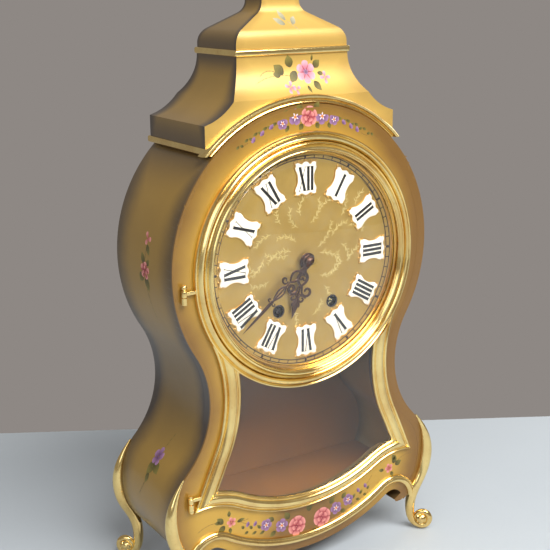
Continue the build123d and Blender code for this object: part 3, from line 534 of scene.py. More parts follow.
def painted_case():
    """Satin gold paint on the front, ochre on the sides, airbrushed dark towards the edges; painted shade
    darkens the front's right edge, the sides under the hood and, together with the airbrush, the waist.
    """
    made, shader, place = material("case_gold_paint")
    inside, depth, z = outline_distance(place)
    drift = drifting(place, 24.0, 16.0)
    # painted shade: the dark rim is drawn broader along the right edge than along the left, for the darker
    # reflection on that side
    right_edge_shade = times(band(times(axes(place)[0], 1000.0), 10.0, 100.0), 11.0)
    rim = below(less(add(inside, drift), right_edge_shade), -5.0, 24.0)
    # partly airbrush, partly painted shade: front and sides darker round the waist, where the sides face
    # down towards the darker floor
    waist_gap = calc("ABSOLUTE", less(z, 152.0))
    hollow = times(below(waist_gap, 8.0, 62.0), 0.5)
    front = blend(times(most(rim, hollow), 0.85), gold_front, brown_edge)
    soft_depth = add(depth, drift)
    near, far = below(soft_depth, -2.0, 24.0), band(soft_depth, 58.0, 84.0)
    # painted shade on the sides just under the hood; the sides also darken towards the floor
    shade_under_hood, above_floor = band(z, 282.0, 318.0), below(z, 24.0, 62.0)
    dark = most(most(near, far), most(shade_under_hood, above_floor))
    side = blend(add(times(dark, 0.85), hollow, clamp=True), ochre_side, smoke_edge)
    finish_paint(shader, place, blend(band(depth, 0.3, 2.4), front, side))
    return made


def painted_hood(name, low_z, high_z):
    """Gold paint on the hood's front, lightened as a painted highlight, smoky ochre on its sides, dark
    along every corner.
    """
    made, shader, place = material(name)
    parts = axes(node(made.node_tree, "ShaderNodeTexCoord").outputs["Normal"])
    on_side = band(less(calc("ABSOLUTE", parts[0]), calc("ABSOLUTE", parts[1])), -0.05, 0.05)
    corner = kept_value(made.node_tree, "corner")
    near = band(add(corner, drifting(place, 26.0, 0.25)), 0.55, 1.0)
    z = times(axes(place)[2], 1000.0)
    ends = most(below(z, low_z, low_z + 26.0), band(z, high_z - 14.0, high_z))
    dark = most(near, times(ends, 0.8), clamp=True)
    front = blend(times(dark, 0.35), hood_gold_and_highlight, brown_edge)
    finish_paint(shader, place, blend(on_side, front, blend(dark, ochre_side, smoke_edge)))
    return made


def engraved_dial():
    """Satin gilt dial, dull in clouds, with faint turning lines round its middle."""
    made, shader, place = material("gilt_dial")
    parts = axes(place)
    dz = less(parts[2], dial_z)
    reach = times(calc("SQRT", add(times(parts[0], parts[0]), times(dz, dz))), 1000.0)
    rings = calc("SINE", times(reach, 14.0))
    colour = blend(band(reach, 40.0, 76.0), rgb(188, 154, 84), rgb(196, 160, 84))
    cloud = band(clouds(place, 38.0, 4.0, 0.65), 0.5, 0.72)
    colour = blend(times(cloud, 0.35), colour, rgb(180, 164, 126))
    shade = blend(1.0, colour, (0.7, 0.66, 0.6, 1.0), "MULTIPLY")
    out = unevenly(place, colour, shade, 60.0, 0.25, 1100.0, 0.15)
    feed(shader, {
        "Base Color": out["Colour"],
        "Roughness": rough_from(cloud, 0.18, 0.38),
        "Metallic": 0.8,
        "Normal": bump(add(times(rings, 0.3), out["Height"]), 0.04),
    })
    return made


def smooth_coat(name, colour, shade, rough, metallic=0.0, coat=0.0, scale=40.0, specks=1200.0):
    """Enamel, lacquer or paint that is one colour with an uneven hand in it."""
    made, shader, place = material(name)
    out = unevenly(place, colour, shade, scale, 0.3, specks, 0.15)
    feed(shader, {
        "Base Color": out["Colour"],
        "Roughness": rough_from(out["Clouds"], 0.15, rough - 0.07),
        "Metallic": metallic,
        "Coat Weight": coat,
        "Coat Roughness": 0.08,
        "Normal": bump(out["Height"], 0.05),
    })
    return made


def bare_wood():
    """Stained wood inside and behind the case, with grain along its height."""
    made, shader, place = material("stained_wood")
    drawn = node(made.node_tree, "ShaderNodeMapping", {0: place, 3: (1.0, 1.0, 0.09)}).outputs[0]
    grain = clouds(drawn, 240.0, 5.0, 0.6)
    broad = clouds(drawn, 40.0, 3.0, 0.5)
    colour = blend(band(grain, 0.35, 0.7), rgb(128, 88, 52), rgb(70, 44, 26))
    feed(shader, {
        "Base Color": blend(times(broad, 0.5), colour, rgb(104, 66, 36)),
        "Roughness": rough_from(grain, 0.2, 0.45),
        "Normal": bump(grain, 0.2),
    })
    return made


def brushed_paint(name, deep, light):
    """Hand-laid colour: deep at the heart of each stroke and light at its rim."""
    made, shader, place = material(name)
    streak = polishing_lines(place, (1.0, 1.0, 0.4), 900.0)
    share = add(kept_value(made.node_tree, "tone"), times(less(streak, 0.5), 0.9), clamp=True)
    feed(shader, {
        "Base Color": blend(share, rgb(*deep), rgb(*light)),
        "Roughness": rough_from(streak, 0.2, 0.32),
        "Normal": bump(streak, 0.2),
    })
    return made


case_paint = painted_case()
brass = bright_metal("polished_brass", rgb(250, 222, 150), rgb(196, 140, 58), 0.16, 0.1, 0.45)
deep_brass = bright_metal("warm_brass", rgb(236, 180, 76), rgb(190, 124, 44), 0.22, 0.1, 0.3)
dark_steel = bright_metal("dark_steel", rgb(70, 58, 56), rgb(36, 30, 30), 0.45, 0.14, 0.3)
works_brass = bright_metal("works_brass", rgb(214, 176, 98), rgb(150, 110, 52), 0.34, 0.16, 0.4, (1, 1, 8))
steel = bright_metal("turned_steel", rgb(176, 176, 180), rgb(110, 108, 106), 0.28, 0.16, 0.3, (6, 1, 1))
bell_bronze = bright_metal("bell_bronze", rgb(206, 180, 130), rgb(150, 116, 70), 0.3, 0.14)
hand_bronze = bright_metal("hand_bronze", rgb(88, 60, 50), rgb(44, 28, 24), 0.36, 0.14, 0.5)
gilt = bright_metal("gilt_edging", rgb(226, 180, 98), rgb(160, 112, 52), 0.3, 0.14)
dial_gilt = engraved_dial()
engraving = smooth_coat("engraved_lines", rgb(240, 222, 158), rgb(206, 178, 104), 0.3, metallic=0.7)
dark_inlay = smooth_coat("dark_inlay", rgb(44, 22, 10), rgb(24, 12, 8), 0.6)
enamel = smooth_coat("white_enamel", rgb(222, 213, 200), rgb(196, 186, 172), 0.16, coat=0.6, scale=90.0)
numeral_black = smooth_coat("numeral_black", rgb(26, 24, 26), rgb(14, 13, 14), 0.25, coat=0.4)
pane = glass_finish("clear_pane", (0.96, 0.98, 0.97, 1.0), 0.05)
wood = bare_wood()
inner_gold = smooth_coat("inner_gold", rgb(128, 80, 28), rgb(76, 48, 22), 0.42, coat=0.1, scale=16.0)
rose_paint = brushed_paint("rose_paint", (164, 70, 76), (220, 146, 138))
pale_rose = brushed_paint("pale_rose", (168, 86, 112), (224, 160, 172))
violet_paint = brushed_paint("violet_paint", (84, 50, 84), (150, 112, 150))
orange_paint = brushed_paint("orange_paint", (206, 92, 40), (232, 158, 62))
leaf_green = brushed_paint("leaf_green", (66, 58, 22), (118, 108, 46))
grey_leaf = brushed_paint("grey_leaf", (130, 128, 106), (176, 172, 146))
twig_brown = brushed_paint("twig_brown", (104, 74, 30), (136, 102, 46))
rose_shade = brushed_paint("rose_shade", (122, 40, 50), (166, 70, 76))
pale_streak = brushed_paint("pale_streak", (206, 186, 206), (226, 212, 220))


# ---------------------------------------------------------------- case
def case_walls():
    """Side walls in one sweep, front corner rounded, closed over the crown."""
    wall, deep = 6.0, (back_y - front_y) / MM
    below_belly = 62                 # degrees, past the floor where it is cut
    shape = [
        (0.0, -deep), (0.0, -2.4), (-0.2, -1.4), (-0.7, -0.6), (-1.5, -0.1), (-2.6, 0.1),
        (-wall - 0.9, 0.1), (-wall - 0.9, 0.0), (-wall, -0.2), (-wall, -deep),
    ]
    piece = section("case_walls", shape, (crown[0], crown[1] + crown[2]), 90, front_y)
    turn(crown, -(90 - crown_end), 72)
    turn(waist, waist_end - 180 - crown_end, 40)
    turn(belly, -(waist_end - 180) - below_belly, 56)
    cut(piece, (0, 0, side_foot), (0, 0, 1), keep_below=False)
    both_sides(piece)
    tidy(piece)
    settle(piece, "case", "painted_wood", case_paint, "case_shell")


apron = (0.0, 151.6, 130.6)
apron_arch = (79.0, 28.1, 16.0)


def apron_trim():
    """Rounded brass strip along the apron."""
    shape = [
        (0.0, -8.0), (0.0, 0.6), (-0.5, 1.7), (-1.3, 2.5), (-2.4, 2.9), (-3.3, 2.7), (-3.9, 2.1),
        (-4.3, 1.9), (-4.8, 2.3), (-5.4, 2.1), (-6.0, 1.3), (-6.0, -0.2), (-3.0, -0.2), (-3.0, -8.0),
    ]
    lean = degrees(atan2(apron_arch[1] - apron[1], apron_arch[0])) + 90
    piece = section("apron_trim", shape, (0.0, apron[1] - apron[2]), -90, front_y)
    turn(apron, lean, 24)
    turn(apron_arch, -(lean + 84), 30)
    both_sides(piece)
    tidy(piece)
    settle(piece, "case", "polished_brass", brass, "base_trim")


# ---------------------------------------------------------------- hood
tier_low, tier_high = 315.6, 370.3
tier_foot = (75.5, 38.2)
tier_head = (44.2, 26.2)
tier_hollow = (42.0, 36.0)
upper_low = 374.8
upper_foot = (44.0, 25.6)
upper_neck = (14.8, 10.6)
shoulder_r, shoulder_rise, slope, neck_r, neck_h = 11.2, 2.5, 27.6, 9.0, 6.0


def tier_half(z):
    """Half-width and half-depth of the hollow tier at a height."""
    made = []
    for foot, head, hollow in zip(tier_foot, tier_head, tier_hollow):
        middle = head + hollow
        made.append(min(foot, middle - sqrt(max(hollow ** 2 - (tier_high - z) ** 2, 0.0))))
    return (tier_foot[0] if z <= ledge_at(0) else made[0]), made[1]


def upper_side():
    """Outline of the bell-shaped tier from foot to neck, as (half-width, height)."""
    way = 90 - slope
    middle = (upper_foot[0] - shoulder_r, upper_low + shoulder_rise)
    points = [(upper_foot[0], upper_low)]
    for k in range(9):
        a = radians(way * k / 8)
        points.append((middle[0] + shoulder_r * cos(a), middle[1] + shoulder_r * sin(a)))
    run = points[-1][0] - (upper_neck[0] + neck_r * (1 - cos(radians(way))))
    top = points[-1][1] + run * sin(radians(slope)) / cos(radians(slope)) + neck_r * sin(radians(way))
    for k in range(8):
        a = radians(180 + way * (1 - k / 7))
        points.append((upper_neck[0] + neck_r + neck_r * cos(a), top + neck_r * sin(a)))
    points.append((upper_neck[0], top + neck_h))
    return points


def stack(name, levels):
    """A four-sided body raised level by level: levels are (half-width, half-depth, height)."""
    rest_tools()
    half, half_deep, z = levels[0]
    bpy.ops.mesh.primitive_grid_add(x_subdivisions=14, y_subdivisions=14, size=1, location=(0, 0, 0))
    piece = bpy.context.object
    piece.name = name
    edit()
    bpy.ops.transform.resize(value=(2 * half * MM, 2 * half_deep * MM, 1))
    bpy.ops.transform.translate(value=(0, hood_y, z * MM))
    for wide, deep, high in levels[1:]:
        draw_by((0, 0, high - z))
        bpy.ops.transform.resize(
            value=(wide / half, deep / half_deep, 1), center_override=(0, hood_y, high * MM)
        )
        half, half_deep, z = wide, deep, high
    rest_tools()
    return piece


bell_side = upper_side()


def bell_half(z):
    """Half-width and half-depth of the bell-shaped tier at a height."""
    x = upper_neck[0]
    for (x0, z0), (x1, z1) in zip(bell_side, bell_side[1:]):
        if z <= z1 + 1e-6:
            x = x0 + (x1 - x0) * (z - z0) / (z1 - z0)
            break
    share = (upper_foot[1] - upper_neck[1]) / (upper_foot[0] - upper_neck[0])
    return x, upper_neck[1] + (x - upper_neck[0]) * share


def corner_marks(piece, halves):
    """Keeps, for every point, how close it lies to a corner of the body."""
    marks = piece.data.attributes.new("corner", "FLOAT", "POINT")
    values = []
    for v in piece.data.vertices:
        half, half_deep = halves(v.co.z / MM)
        shares = (abs(v.co.x) / MM / half, abs(v.co.y - hood_y) / MM / half_deep)
        values.append(min(1.0, min(shares)))
    marks.data.foreach_set("value", values)


def without_crown(piece):
    """Cuts the round crown of the case out of a body that sits over it."""
    bore(piece, crown[2] + 0.15, 300.0, 0.0, crown[1] * MM)


def ledge_at(k):
    """Height where the hollow of the tier begins: k is 0 for its width, 1 for its depth."""
    return tier_high - sqrt(tier_hollow[k] ** 2 - (tier_head[k] + tier_hollow[k] - tier_foot[k]) ** 2)


def hood_tier():
    """Hollow-sided lower tier of the hood."""
    ledge, steps = ledge_at(0), 22
    rise = [ledge + (tier_high - ledge) * k / steps for k in range(1, steps + 1)]
    heights = sorted(set([tier_low, ledge, ledge_at(1)] + rise))
    piece = stack("hood_tier", [(*tier_half(z), z) for z in heights])
    without_crown(piece)
    tidy(piece, 30)
    corner_marks(piece, tier_half)
    paint = painted_hood("hood_tier_paint", tier_low, tier_high)
    settle(piece, "case", "painted_wood", paint, "hood_lower")


def hood_bell():
    """Bell-shaped upper tier and neck."""
    piece = tidy(stack("hood_bell", [(*bell_half(z), z) for _, z in bell_side]), 30)
    corner_marks(piece, bell_half)
    paint = painted_hood("hood_bell_paint", upper_low, bell_side[-1][1])
    settle(piece, "case", "painted_wood", paint, "hood_upper")


def soft_block(name, halves, middle, low, high, soft, segments=5):
    """A block with rounded long edges, as a planed and sanded rail."""
    rest_tools()
    bpy.ops.mesh.primitive_cube_add(size=1)
    piece = bpy.context.object
    piece.name = name
    edit()
    bpy.ops.transform.resize(value=(2 * halves[0] * MM, 2 * halves[1] * MM, (high - low) * MM))
    bpy.ops.transform.translate(value=(middle[0] * MM, middle[1] * MM, (high + low) / 2 * MM))
    bpy.ops.mesh.select_all(action="DESELECT")
    mesh = bmesh.from_edit_mesh(piece.data)
    for edge in mesh.edges:
        edge.select = abs(edge.verts[0].co.z - edge.verts[1].co.z) < 1e-6
    mesh.select_flush(True)
    bpy.ops.mesh.bevel(offset=soft * MM, segments=segments, profile=0.6)
    rest_tools()
    return piece


def hood_rails():
    """Cornice between the tiers and the rail under the hood, both rounded brass."""
    over, cornice_high, rail_high = 1.6, 4.5, 4.6
    middle = hood_y / MM
    cornice = soft_block(
        "cornice_bead",
        (tier_head[0] + over, tier_head[1] + over),
        (0, middle),
        tier_high,
        tier_high + cornice_high,
        1.9,
    )
    tidy(cornice, 60)
    settle(cornice, "case", "polished_brass", brass, "hood_cornice")
    before, behind, beside = 1.2, 3.5, 1.0
    front_hood = middle - tier_foot[1]
    rail = soft_block(
        "hood_rail",
        (tier_foot[0] + beside, tier_foot[1] + (behind + before) / 2),
        (0, middle + (behind - before) / 2),
        tier_low - rail_high,
        tier_low,
        1.7,
    )
    without_crown(rail)
    tidy(rail, 60)
    settle(rail, "case", "polished_brass", brass, "hood_strip")
    shape = [
        (0.1, -1.0), (0.1, 3.0), (0.4, 3.9), (1.0, 4.3), (1.6, 4.0), (1.9, 3.3), (2.4, 3.3), (2.9, 4.6),
        (3.8, 5.6), (4.8, 5.7), (5.6, 5.0), (6.0, 3.9), (6.1, 2.6), (6.1, -1.0),
    ]
    arch = section("hood_arch", shape, (0.0, crown[1] + crown[2]), 90, (front_hood + before) * MM)
    turn(crown, -52.0, 48)
    both_sides(arch)
    cut(arch, (0, 0, tier_low - rail_high), (0, 0, 1), keep_below=False)
    tidy(arch)
    settle(arch, "case", "polished_brass", brass, "hood_strip")


# ---------------------------------------------------------------- door
bezel_r = 89.5
flare = (161.0, 148.2, 92.0)
bar_w, low_bar_w = 13.0, 11.4
door_low = (0.0, 176.3, 127.3)
door_arch = (85.0, 20.7, 50.0)
flare_end = 204.0


def around_dial(name, shape):
    """A section given as (radius, lift) from the door's back plane, turned round the dial's centre."""
    piece = section(name, shape, (0.0, dial_z / MM), 90, door_y)
    turn((0.0, dial_z / MM), 360, 180)
    return tidy(piece, 40, fill=False)


def door_bars():
    """Moulded bars at the sides and bottom of the door, mitred at the lower corners."""
    bar = [
        (0.0, 0.0), (0.0, 1.9), (-0.5, 2.6), (-1.2, 2.8), (-1.9, 2.4), (-2.3, 1.5), (-2.9, 1.4),
        (-3.4, 2.5), (-4.4, 3.4), (-5.8, 3.9), (-7.4, 3.9), (-8.8, 3.3), (-9.6, 2.3), (-10.0, 1.7),
        (-10.5, 1.7), (-11.0, 2.4), (-11.8, 2.7), (-12.6, 2.3), (-bar_w, 1.4), (-bar_w, 0.0),
    ]
    tangent = degrees(atan2(flare[1] - dial_z / MM, flare[0]))
    lean = radians(tangent)
    start = (bezel_r * cos(lean), dial_z / MM + bezel_r * sin(lean))
    side = section("side_bar", bar, start, tangent, door_y)
    turn(flare, flare_end - 180 - tangent, 40)
    down = Vector((-sin(radians(flare_end)), 0, cos(radians(flare_end))))
    past_mitre = 60
    draw_by(down * past_mitre)
    low_bar = [(out * low_bar_w / bar_w, lift) for out, lift in bar]
    low = section("low_bar", low_bar, (0.0, door_low[1] - door_low[2]), -90, door_y)
    swing = degrees(atan2(door_arch[1] - door_low[1], door_arch[0])) + 90
    turn(door_low, swing, 30)
    turn(door_arch, -(swing + 24), 22)
    mitre_out, mitre_in = Vector((95.2, 0, 69.7)), Vector((75.6, 0, 81.4))
    along = (mitre_in - mitre_out).normalized()
    across = Vector((-along.z, 0, along.x))
    cut(side, mitre_out, across, keep_below=True)
    cut(low, mitre_out, across, keep_below=False)
    for piece in (side, low):
        tidy(piece, 40)
    bore(side, bezel_r - 0.3, 40.0, front_y, dial_z)
    made = joined("door_bars", [side, low])
    both_sides(made)
    tidy(made, 40, fill=False)
    settle(made, "door", "polished_brass", brass, "door_frame")


def door_knuckles():
    """The door's half of each hinge: a rounded knuckle with its tongue."""
    knuckle_r, knuckle_h = 1.9, 4.3
    made = []
    for low in (78.2, 223.2):
        rest_tools()
        bpy.ops.mesh.primitive_cylinder_add(
            vertices=40, radius=knuckle_r * MM, depth=knuckle_h * MM, location=(0, 0, 0)
        )
        knuckle = bpy.context.object
        middle = Vector((-97.5, front_y / MM - 3.0, low + 2.25))
        knuckle.data.transform(Matrix.Translation(middle * MM))
        apply(knuckle, "BEVEL", width=0.4 * MM, segments=3, limit_method="ANGLE", angle_limit=radians(60))
        place = (-92.6, front_y / MM - 2.4)
        made += [knuckle, soft_block("tongue", (3.6, 0.7), place, low + 1.0, low + 3.4, 0.3, 3)]
    piece = tidy(joined("door_knuckles", made), 40, fill=False, merge=0.000001)
    settle(piece, "door", "polished_brass", brass, "door_frame")


def bezel():
    """The door frame's own roll and the ring that holds the glass."""
    roll = [
        (0.0, 0.0), (0.0, 2.2), (-0.4, 2.9), (-1.1, 3.1), (-1.7, 2.7), (-2.1, 2.2), (-2.5, 2.6),
        (-3.1, 3.8), (-4.1, 4.5), (-5.2, 4.4), (-6.0, 3.5), (-6.5, 2.4), (-6.6, 0.0),
    ]
    made = around_dial("bezel_roll", [(bezel_r + out, lift) for out, lift in roll])
    settle(made, "door", "polished_brass", brass, "door_frame")
    ring = [
        (82.8, 0.0), (82.8, 2.6), (82.3, 3.6), (81.5, 4.1), (80.9, 3.8), (80.6, 3.3), (80.2, 3.6),
        (79.8, 4.9), (79.0, 5.7), (78.2, 5.7), (77.6, 5.1), (77.3, 4.6), (76.9, 4.8), (76.5, 4.5),
        (76.3, 3.9), (76.3, 3.1), (79.3, 3.1), (79.3, 0.0),
    ]
    made = around_dial("bezel_ring_moulded", ring)
    settle(made, "door", "polished_brass", brass, "bezel_ring")


def in_dial(depth):
    """A depth behind the case's face, as a lift from the door's back plane, in mm."""
    return (door_y - front_y) / MM - depth


def dial_slope():
    """Gilt slope between the bezel and the minute track."""
    slope = [
        (79.5, in_dial(0.9)), (79.2, in_dial(0.2)), (78.6, in_dial(0.0)), (77.9, in_dial(0.3)),
        (77.0, in_dial(1.1)), (76.0, in_dial(1.9)), (75.0, in_dial(2.3)), (74.4, in_dial(2.2)),
        (73.9, in_dial(2.5)), (73.8, in_dial(3.0)), (79.5, in_dial(3.0)),
    ]
    made = around_dial("dial_slope", slope)
    settle(made, "case", "polished_brass", deep_brass, "dial_surround")


# ---------------------------------------------------------------- dial
def flat_stroke(name, top, foot, wide, y, thick):
    """A straight inlaid stroke from top to foot, (x, z) in mm, standing thick proud of y."""
    piece = loose_point(name, (top[0] - wide / 2, y / MM, top[1]))
    draw_by((wide, 0, 0))
    pick_all()
    draw_by((foot[0] - top[0], 0, foot[1] - top[1]))
    pick_all()
    draw_by((0, -thick, 0))
    rest_tools()
    return piece


def set_round(piece, angle, name):
    """A copy of a piece turned clockwise round the dial's centre, with its own mesh."""
    copy = duplicate(piece, name)
    copy.data.transform(clockwise(angle))
    return copy


def minute_marks():
    """Two fine lines with a bar at every minute between them and a dot at every hour."""
    outer, inner, half, proud = 72.6, 70.1, 0.34, 0.12
    bar_wide, dot_r, dot_h = 0.64, 0.95, 0.4
    floor, top = in_dial(3.0), in_dial(3.0 - proud)
    lines = []
    for radius in (outer, inner):
        shape = [(radius + half, floor), (radius + half, top), (radius - half, top), (radius - half, floor)]
        lines.append(around_dial("track_line", shape))
    z = dial_z / MM
    bar = flat_stroke("minute_bar", (0, z + outer), (0, z + inner), bar_wide, dial_y, proud)
    tidy(bar)
    bars = [set_round(bar, 6 * k, "minute_bar") for k in range(60)]
    dot = lying_round(dot_r, dot_h, 20, dial_y, dial_z + (outer + inner) / 2 * MM)
    apply(dot, "BEVEL", width=0.12 * MM, segments=2)
    dots = [set_round(dot, 30 * k, "hour_dot") for k in range(12)]
    for spare in (bar, dot):
        bpy.data.objects.remove(spare)
    made = joined("minute_marks", lines + bars + dots)
    settle(made, "case", "track_inlay", dark_inlay, "minute_track")


plaque_r = 57.0
plaque_shares = (0.96, 0.89)
plaque_edge = [
    (1.7, 12.0), (2.7, 11.1), (4.2, 10.9), (5.4, 11.6), (7.0, 12.1), (8.7, 11.3), (8.3, 9.7), (9.0, 8.5),
    (8.5, 6.6), (7.3, 4.4), (6.8, 2.0), (6.7, 0.0),
]


def plaque_blank(name, grow, thick, soft):
    """Cartouche outline with hollow sides, filled and given its thickness."""
    quarter = [(0.0, 12.5)] + plaque_edge
    right = quarter + [(x, -z) for x, z in reversed(quarter[:-1])]
    outline = right + [(-x, z) for x, z in reversed(right[1:-1])]
    middle = dial_z / MM + plaque_r
    wide, high = plaque_shares[0] * grow, plaque_shares[1] * grow
    piece = slab(name, [Vector((wide * x, dial_y / MM, middle + high * z)) for x, z in outline], thick)
    apply(piece, "BEVEL", width=soft * MM, segments=2, limit_method="ANGLE", angle_limit=radians(60))
    return tidy(piece, 40)


def hour_letters(text, y):
    """Upright strokes of a Roman number, its feet towards the dial's centre."""
    thick, thin, high = 2.1, 0.5, 8.1
    widths = {"I": 3.1, "V": 6.2, "X": 6.6}
    total = sum(widths[c] for c in text)
    x = -total / 2
    z = dial_z / MM + plaque_r
    strokes = []
    for c in text:
        mid = x + widths[c] / 2
        if c == "I":
            strokes.append((mid, mid, thick))
        elif c == "V":
            strokes += [(mid - 2.0, mid + 0.2, thick), (mid + 2.3, mid + 0.2, thin)]
        else:
            strokes += [(mid - 2.0, mid + 2.0, thick), (mid + 2.3, mid - 2.3, thin)]
        x += widths[c]
    made = [flat_stroke("stroke", (a, z + high), (b, z - high), wide, y, 0.1) for a, b, wide in strokes]
    left, right = -total / 2 + 0.4, total / 2 - 0.4
    half_serif = 0.14
    for end in (high, -high):
        up, down = z + end + half_serif, z + end - half_serif
        for a, b, wide in strokes:
            place, reach = (a if end > 0 else b), wide / 2 + 0.75
            low, top = max(place - reach, left), min(place + reach, right)
            x = (low + top) / 2
            made.append(flat_stroke("serif", (x, up), (x, down), top - low, y, 0.08))
    return made


def hour_plates():
    """Twelve enamelled cartouches with gilt scalloped edges and Roman numbers."""
    enamel_h, bead_r = 0.95, 0.85
    rim_blank = plaque_blank("rim", 1.09, 0.55, 0.15)
    rest_tools()
    beads = []
    for x, z in ((0.0, 12.0), (5.0, 11.3), (-5.0, 11.3), (8.5, 10.7), (-8.5, 10.7)):
        for side in (1, -1):
            bpy.ops.mesh.primitive_uv_sphere_add(segments=12, ring_count=8, radius=bead_r * MM)
            bead = bpy.context.object
            bead.data.transform(Matrix.Diagonal((1, 0.7, 1, 1)))
            place = (x * MM, dial_y - 0.2 * MM, dial_z + (plaque_r + side * z) * MM)
            bead.data.transform(Matrix.Translation(place))
            beads.append(bead)
    rim = joined("rim", [rim_blank] + beads)
    tidy(rim, 40, fill=False, merge=0.000001)
    white = plaque_blank("white", 1.0, enamel_h, 0.25)
    rims, whites, letters = [], [], []
    for k, text in enumerate("XII I II III IIII V VI VII VIII IX X XI".split()):
        rims.append(set_round(rim, 30 * k, "rim"))
        whites.append(set_round(white, 30 * k, "white"))
        number = joined("number", hour_letters(text, dial_y - enamel_h * MM))
        tidy(number, 20, fill=True, merge=0.000001)
        number.data.transform(clockwise(30 * k))
        letters.append(number)
    for spare in (rim, white):
        bpy.data.objects.remove(spare)
    settle(joined("plaque_rims", rims), "case", "polished_brass", gilt, "hour_plaques")
    settle(joined("plaque_enamel", whites), "case", "enamel", enamel, "hour_plaques")
    settle(joined("plaque_numbers", letters), "case", "track_inlay", numeral_black, "hour_plaques")


# ---------------------------------------------------------------- painted and engraved work
def smooth_tube(name, spots, sides=5):
    """A round bar along a smooth line; spots are (x, y, z, radius) in mm."""
    rest_tools()
    bpy.ops.curve.primitive_nurbs_path_add()
    path = bpy.context.object
    path.name = name
    path.data.splines.clear()
    line = path.data.splines.new("NURBS")
    line.points.add(len(spots) - 1)
    for point, (x, y, z, r) in zip(line.points, spots):
        point.co = (x * MM, y * MM, z * MM, 1)
        point.radius = r
    line.order_u = 4
    line.use_endpoint_u = True
    line.resolution_u = 8
    path.data.dimensions = "3D"
    path.data.bevel_depth = MM
    path.data.bevel_resolution = sides
    path.data.use_fill_caps = True
    path.matrix_world = Matrix.Identity(4)
    only(path)
    bpy.ops.object.convert(target="MESH")
    return tidy(bpy.context.object, 50)


def petal_blank(name, point):
    """A thin leaf-shaped pad 1 mm long and wide, from its stalk at the origin along z."""
    rest_tools()
    bpy.ops.mesh.primitive_circle_add(vertices=14, radius=0.0005, fill_type="NGON")
    piece = bpy.context.object
    piece.name = name
    edit()
    bpy.ops.transform.rotate(value=radians(90), orient_axis="X", center_override=(0, 0, 0))
    bpy.ops.transform.translate(value=(0, 0, 0.0005))
    draw_by((0, -0.6, 0))
    bpy.ops.mesh.inset(thickness=0.00014, depth=0.0)
    bpy.ops.transform.translate(value=(0, -0.0003, 0))
    rest_tools()
    tidy(piece, 60, fill=False, merge=0.000001)
    reach = piece.data.attributes.new("tone", "FLOAT", "POINT")
    reach.data.foreach_set("value", [min(1.0, 1.1 * v.co.z / MM) for v in piece.data.vertices])
    for v in piece.data.vertices:
        share = min(1.0, max(0.0, v.co.z / MM))
        v.co.x *= 1.25 * (1 - share) ** point * (0.55 + 1.3 * share) if point else 0.5 + 0.75 * share
    return piece


def on_front(u, v, lift):
    return (u, front_y / MM - lift, v)


def on_tier(u, v, lift):
    return (u, hood_y / MM - tier_half(v)[1] - lift, v)


def on_bell(u, v, lift):
    return (u, hood_y / MM - bell_half(v)[1] - lift, v)


def on_left(u, v, lift):
    return (-half_at(v) - lift, -u, v)


def on_right(u, v, lift):
    return (half_at(v) + lift, u, v)


def on_dial(u, v, lift):
    return (u, dial_y / MM - lift, v + dial_z / MM)


def painted(name, strokes, surface, finish, pad, thick=0.05, slot="painted_wood"):
    """Lays strokes (u, v, angle, length, width, layer) on a surface as thin pads of paint."""
    layer_h = 0.00002
    copies = []
    for u, v, angle, length, width, layer in strokes:
        copy = duplicate(pad, name)
        moved = Matrix.Translation((u * MM, -layer * layer_h, v * MM))
        turned = moved @ Matrix.Rotation(radians(angle), 4, "Y")
        copy.data.transform(turned @ Matrix.Diagonal((width, thick, length, 1)))
        copies.append(copy)
    made = joined(name, copies)
    for point in made.data.vertices:
        u, lift, v = point.co / MM
        point.co = Vector(surface(u, v, -lift)) * MM
    tidy(made, 60, fill=False, merge=0.0000001)
    settle(made, "case", slot, finish)


def ring_of(u, v, count, start, inner, length, width, layer):
    """Petals round a heart."""
    made = []
    for k in range(count):
        angle = start + 360 * k / count
        a = radians(angle)
        made.append((u + inner * sin(a), v + inner * cos(a), angle, length, width, layer + k % 2))
    return made


def rose(u, v, r):
    """A full rose: outer petals, cupped inner petals and heart; deep strokes under light ones."""
    deep = ring_of(u, v, 7, 30, 0.2 * r, 0.76 * r, 0.8 * r, 0)
    light = ring_of(u, v, 6, 8, 0.44 * r, 0.54 * r, 0.86 * r, 2)
    deep += ring_of(u, v, 5, 30, 0.06 * r, 0.5 * r, 0.56 * r, 5)
    light += ring_of(u, v, 4, 64, 0.16 * r, 0.4 * r, 0.52 * r, 7)
    deep += ring_of(u, v, 3, 0, 0.0, 0.24 * r, 0.26 * r, 10)
    light += ring_of(u, v, 2, 40, 0.04 * r, 0.12 * r, 0.1 * r, 12)
    return light, deep


def pansy(u, v, r, tilt=0):
    """Five violet petals round an orange heart."""
    petals = ring_of(u, v, 5, tilt, 0.1 * r, 0.92 * r, 0.95 * r, 1)
    inner = ring_of(u, v, 5, tilt + 36, 0.05 * r, 0.5 * r, 0.22 * r, 4)
    heart = ring_of(u, v, 3, tilt, 0.0, 0.24 * r, 0.26 * r, 6)
    return petals, inner, heart


def fuller(leaves, longer=1.0, wider=1.0):
    """Strokes of the lowest layer from (u, v, angle, length, width), drawn longer and wider."""
    return [(u, v, angle, longer * length, wider * width, 0) for u, v, angle, length, width in leaves]


def twig(points, side_length=0.0, side_gap=99.0):
    """Strokes along a stem given by points, with small ones leaning to alternate sides."""
    strokes = []
    for (u0, v0), (u1, v1) in zip(points, points[1:]):
        run = sqrt((u1 - u0) ** 2 + (v1 - v0) ** 2)
        heading = degrees(atan2(u1 - u0, v1 - v0))
        strokes.append((u0, v0, heading, run * 1.1, 0.5, 0))
        for k in range(int(run / side_gap)):
            share = (k + 0.5) * side_gap / run
            lean = 48 if len(strokes) % 2 else -48
            place = (u0 + (u1 - u0) * share, v0 + (v1 - v0) * share)
            strokes.append((*place, heading + lean, side_length, 0.7, 0))
    return strokes


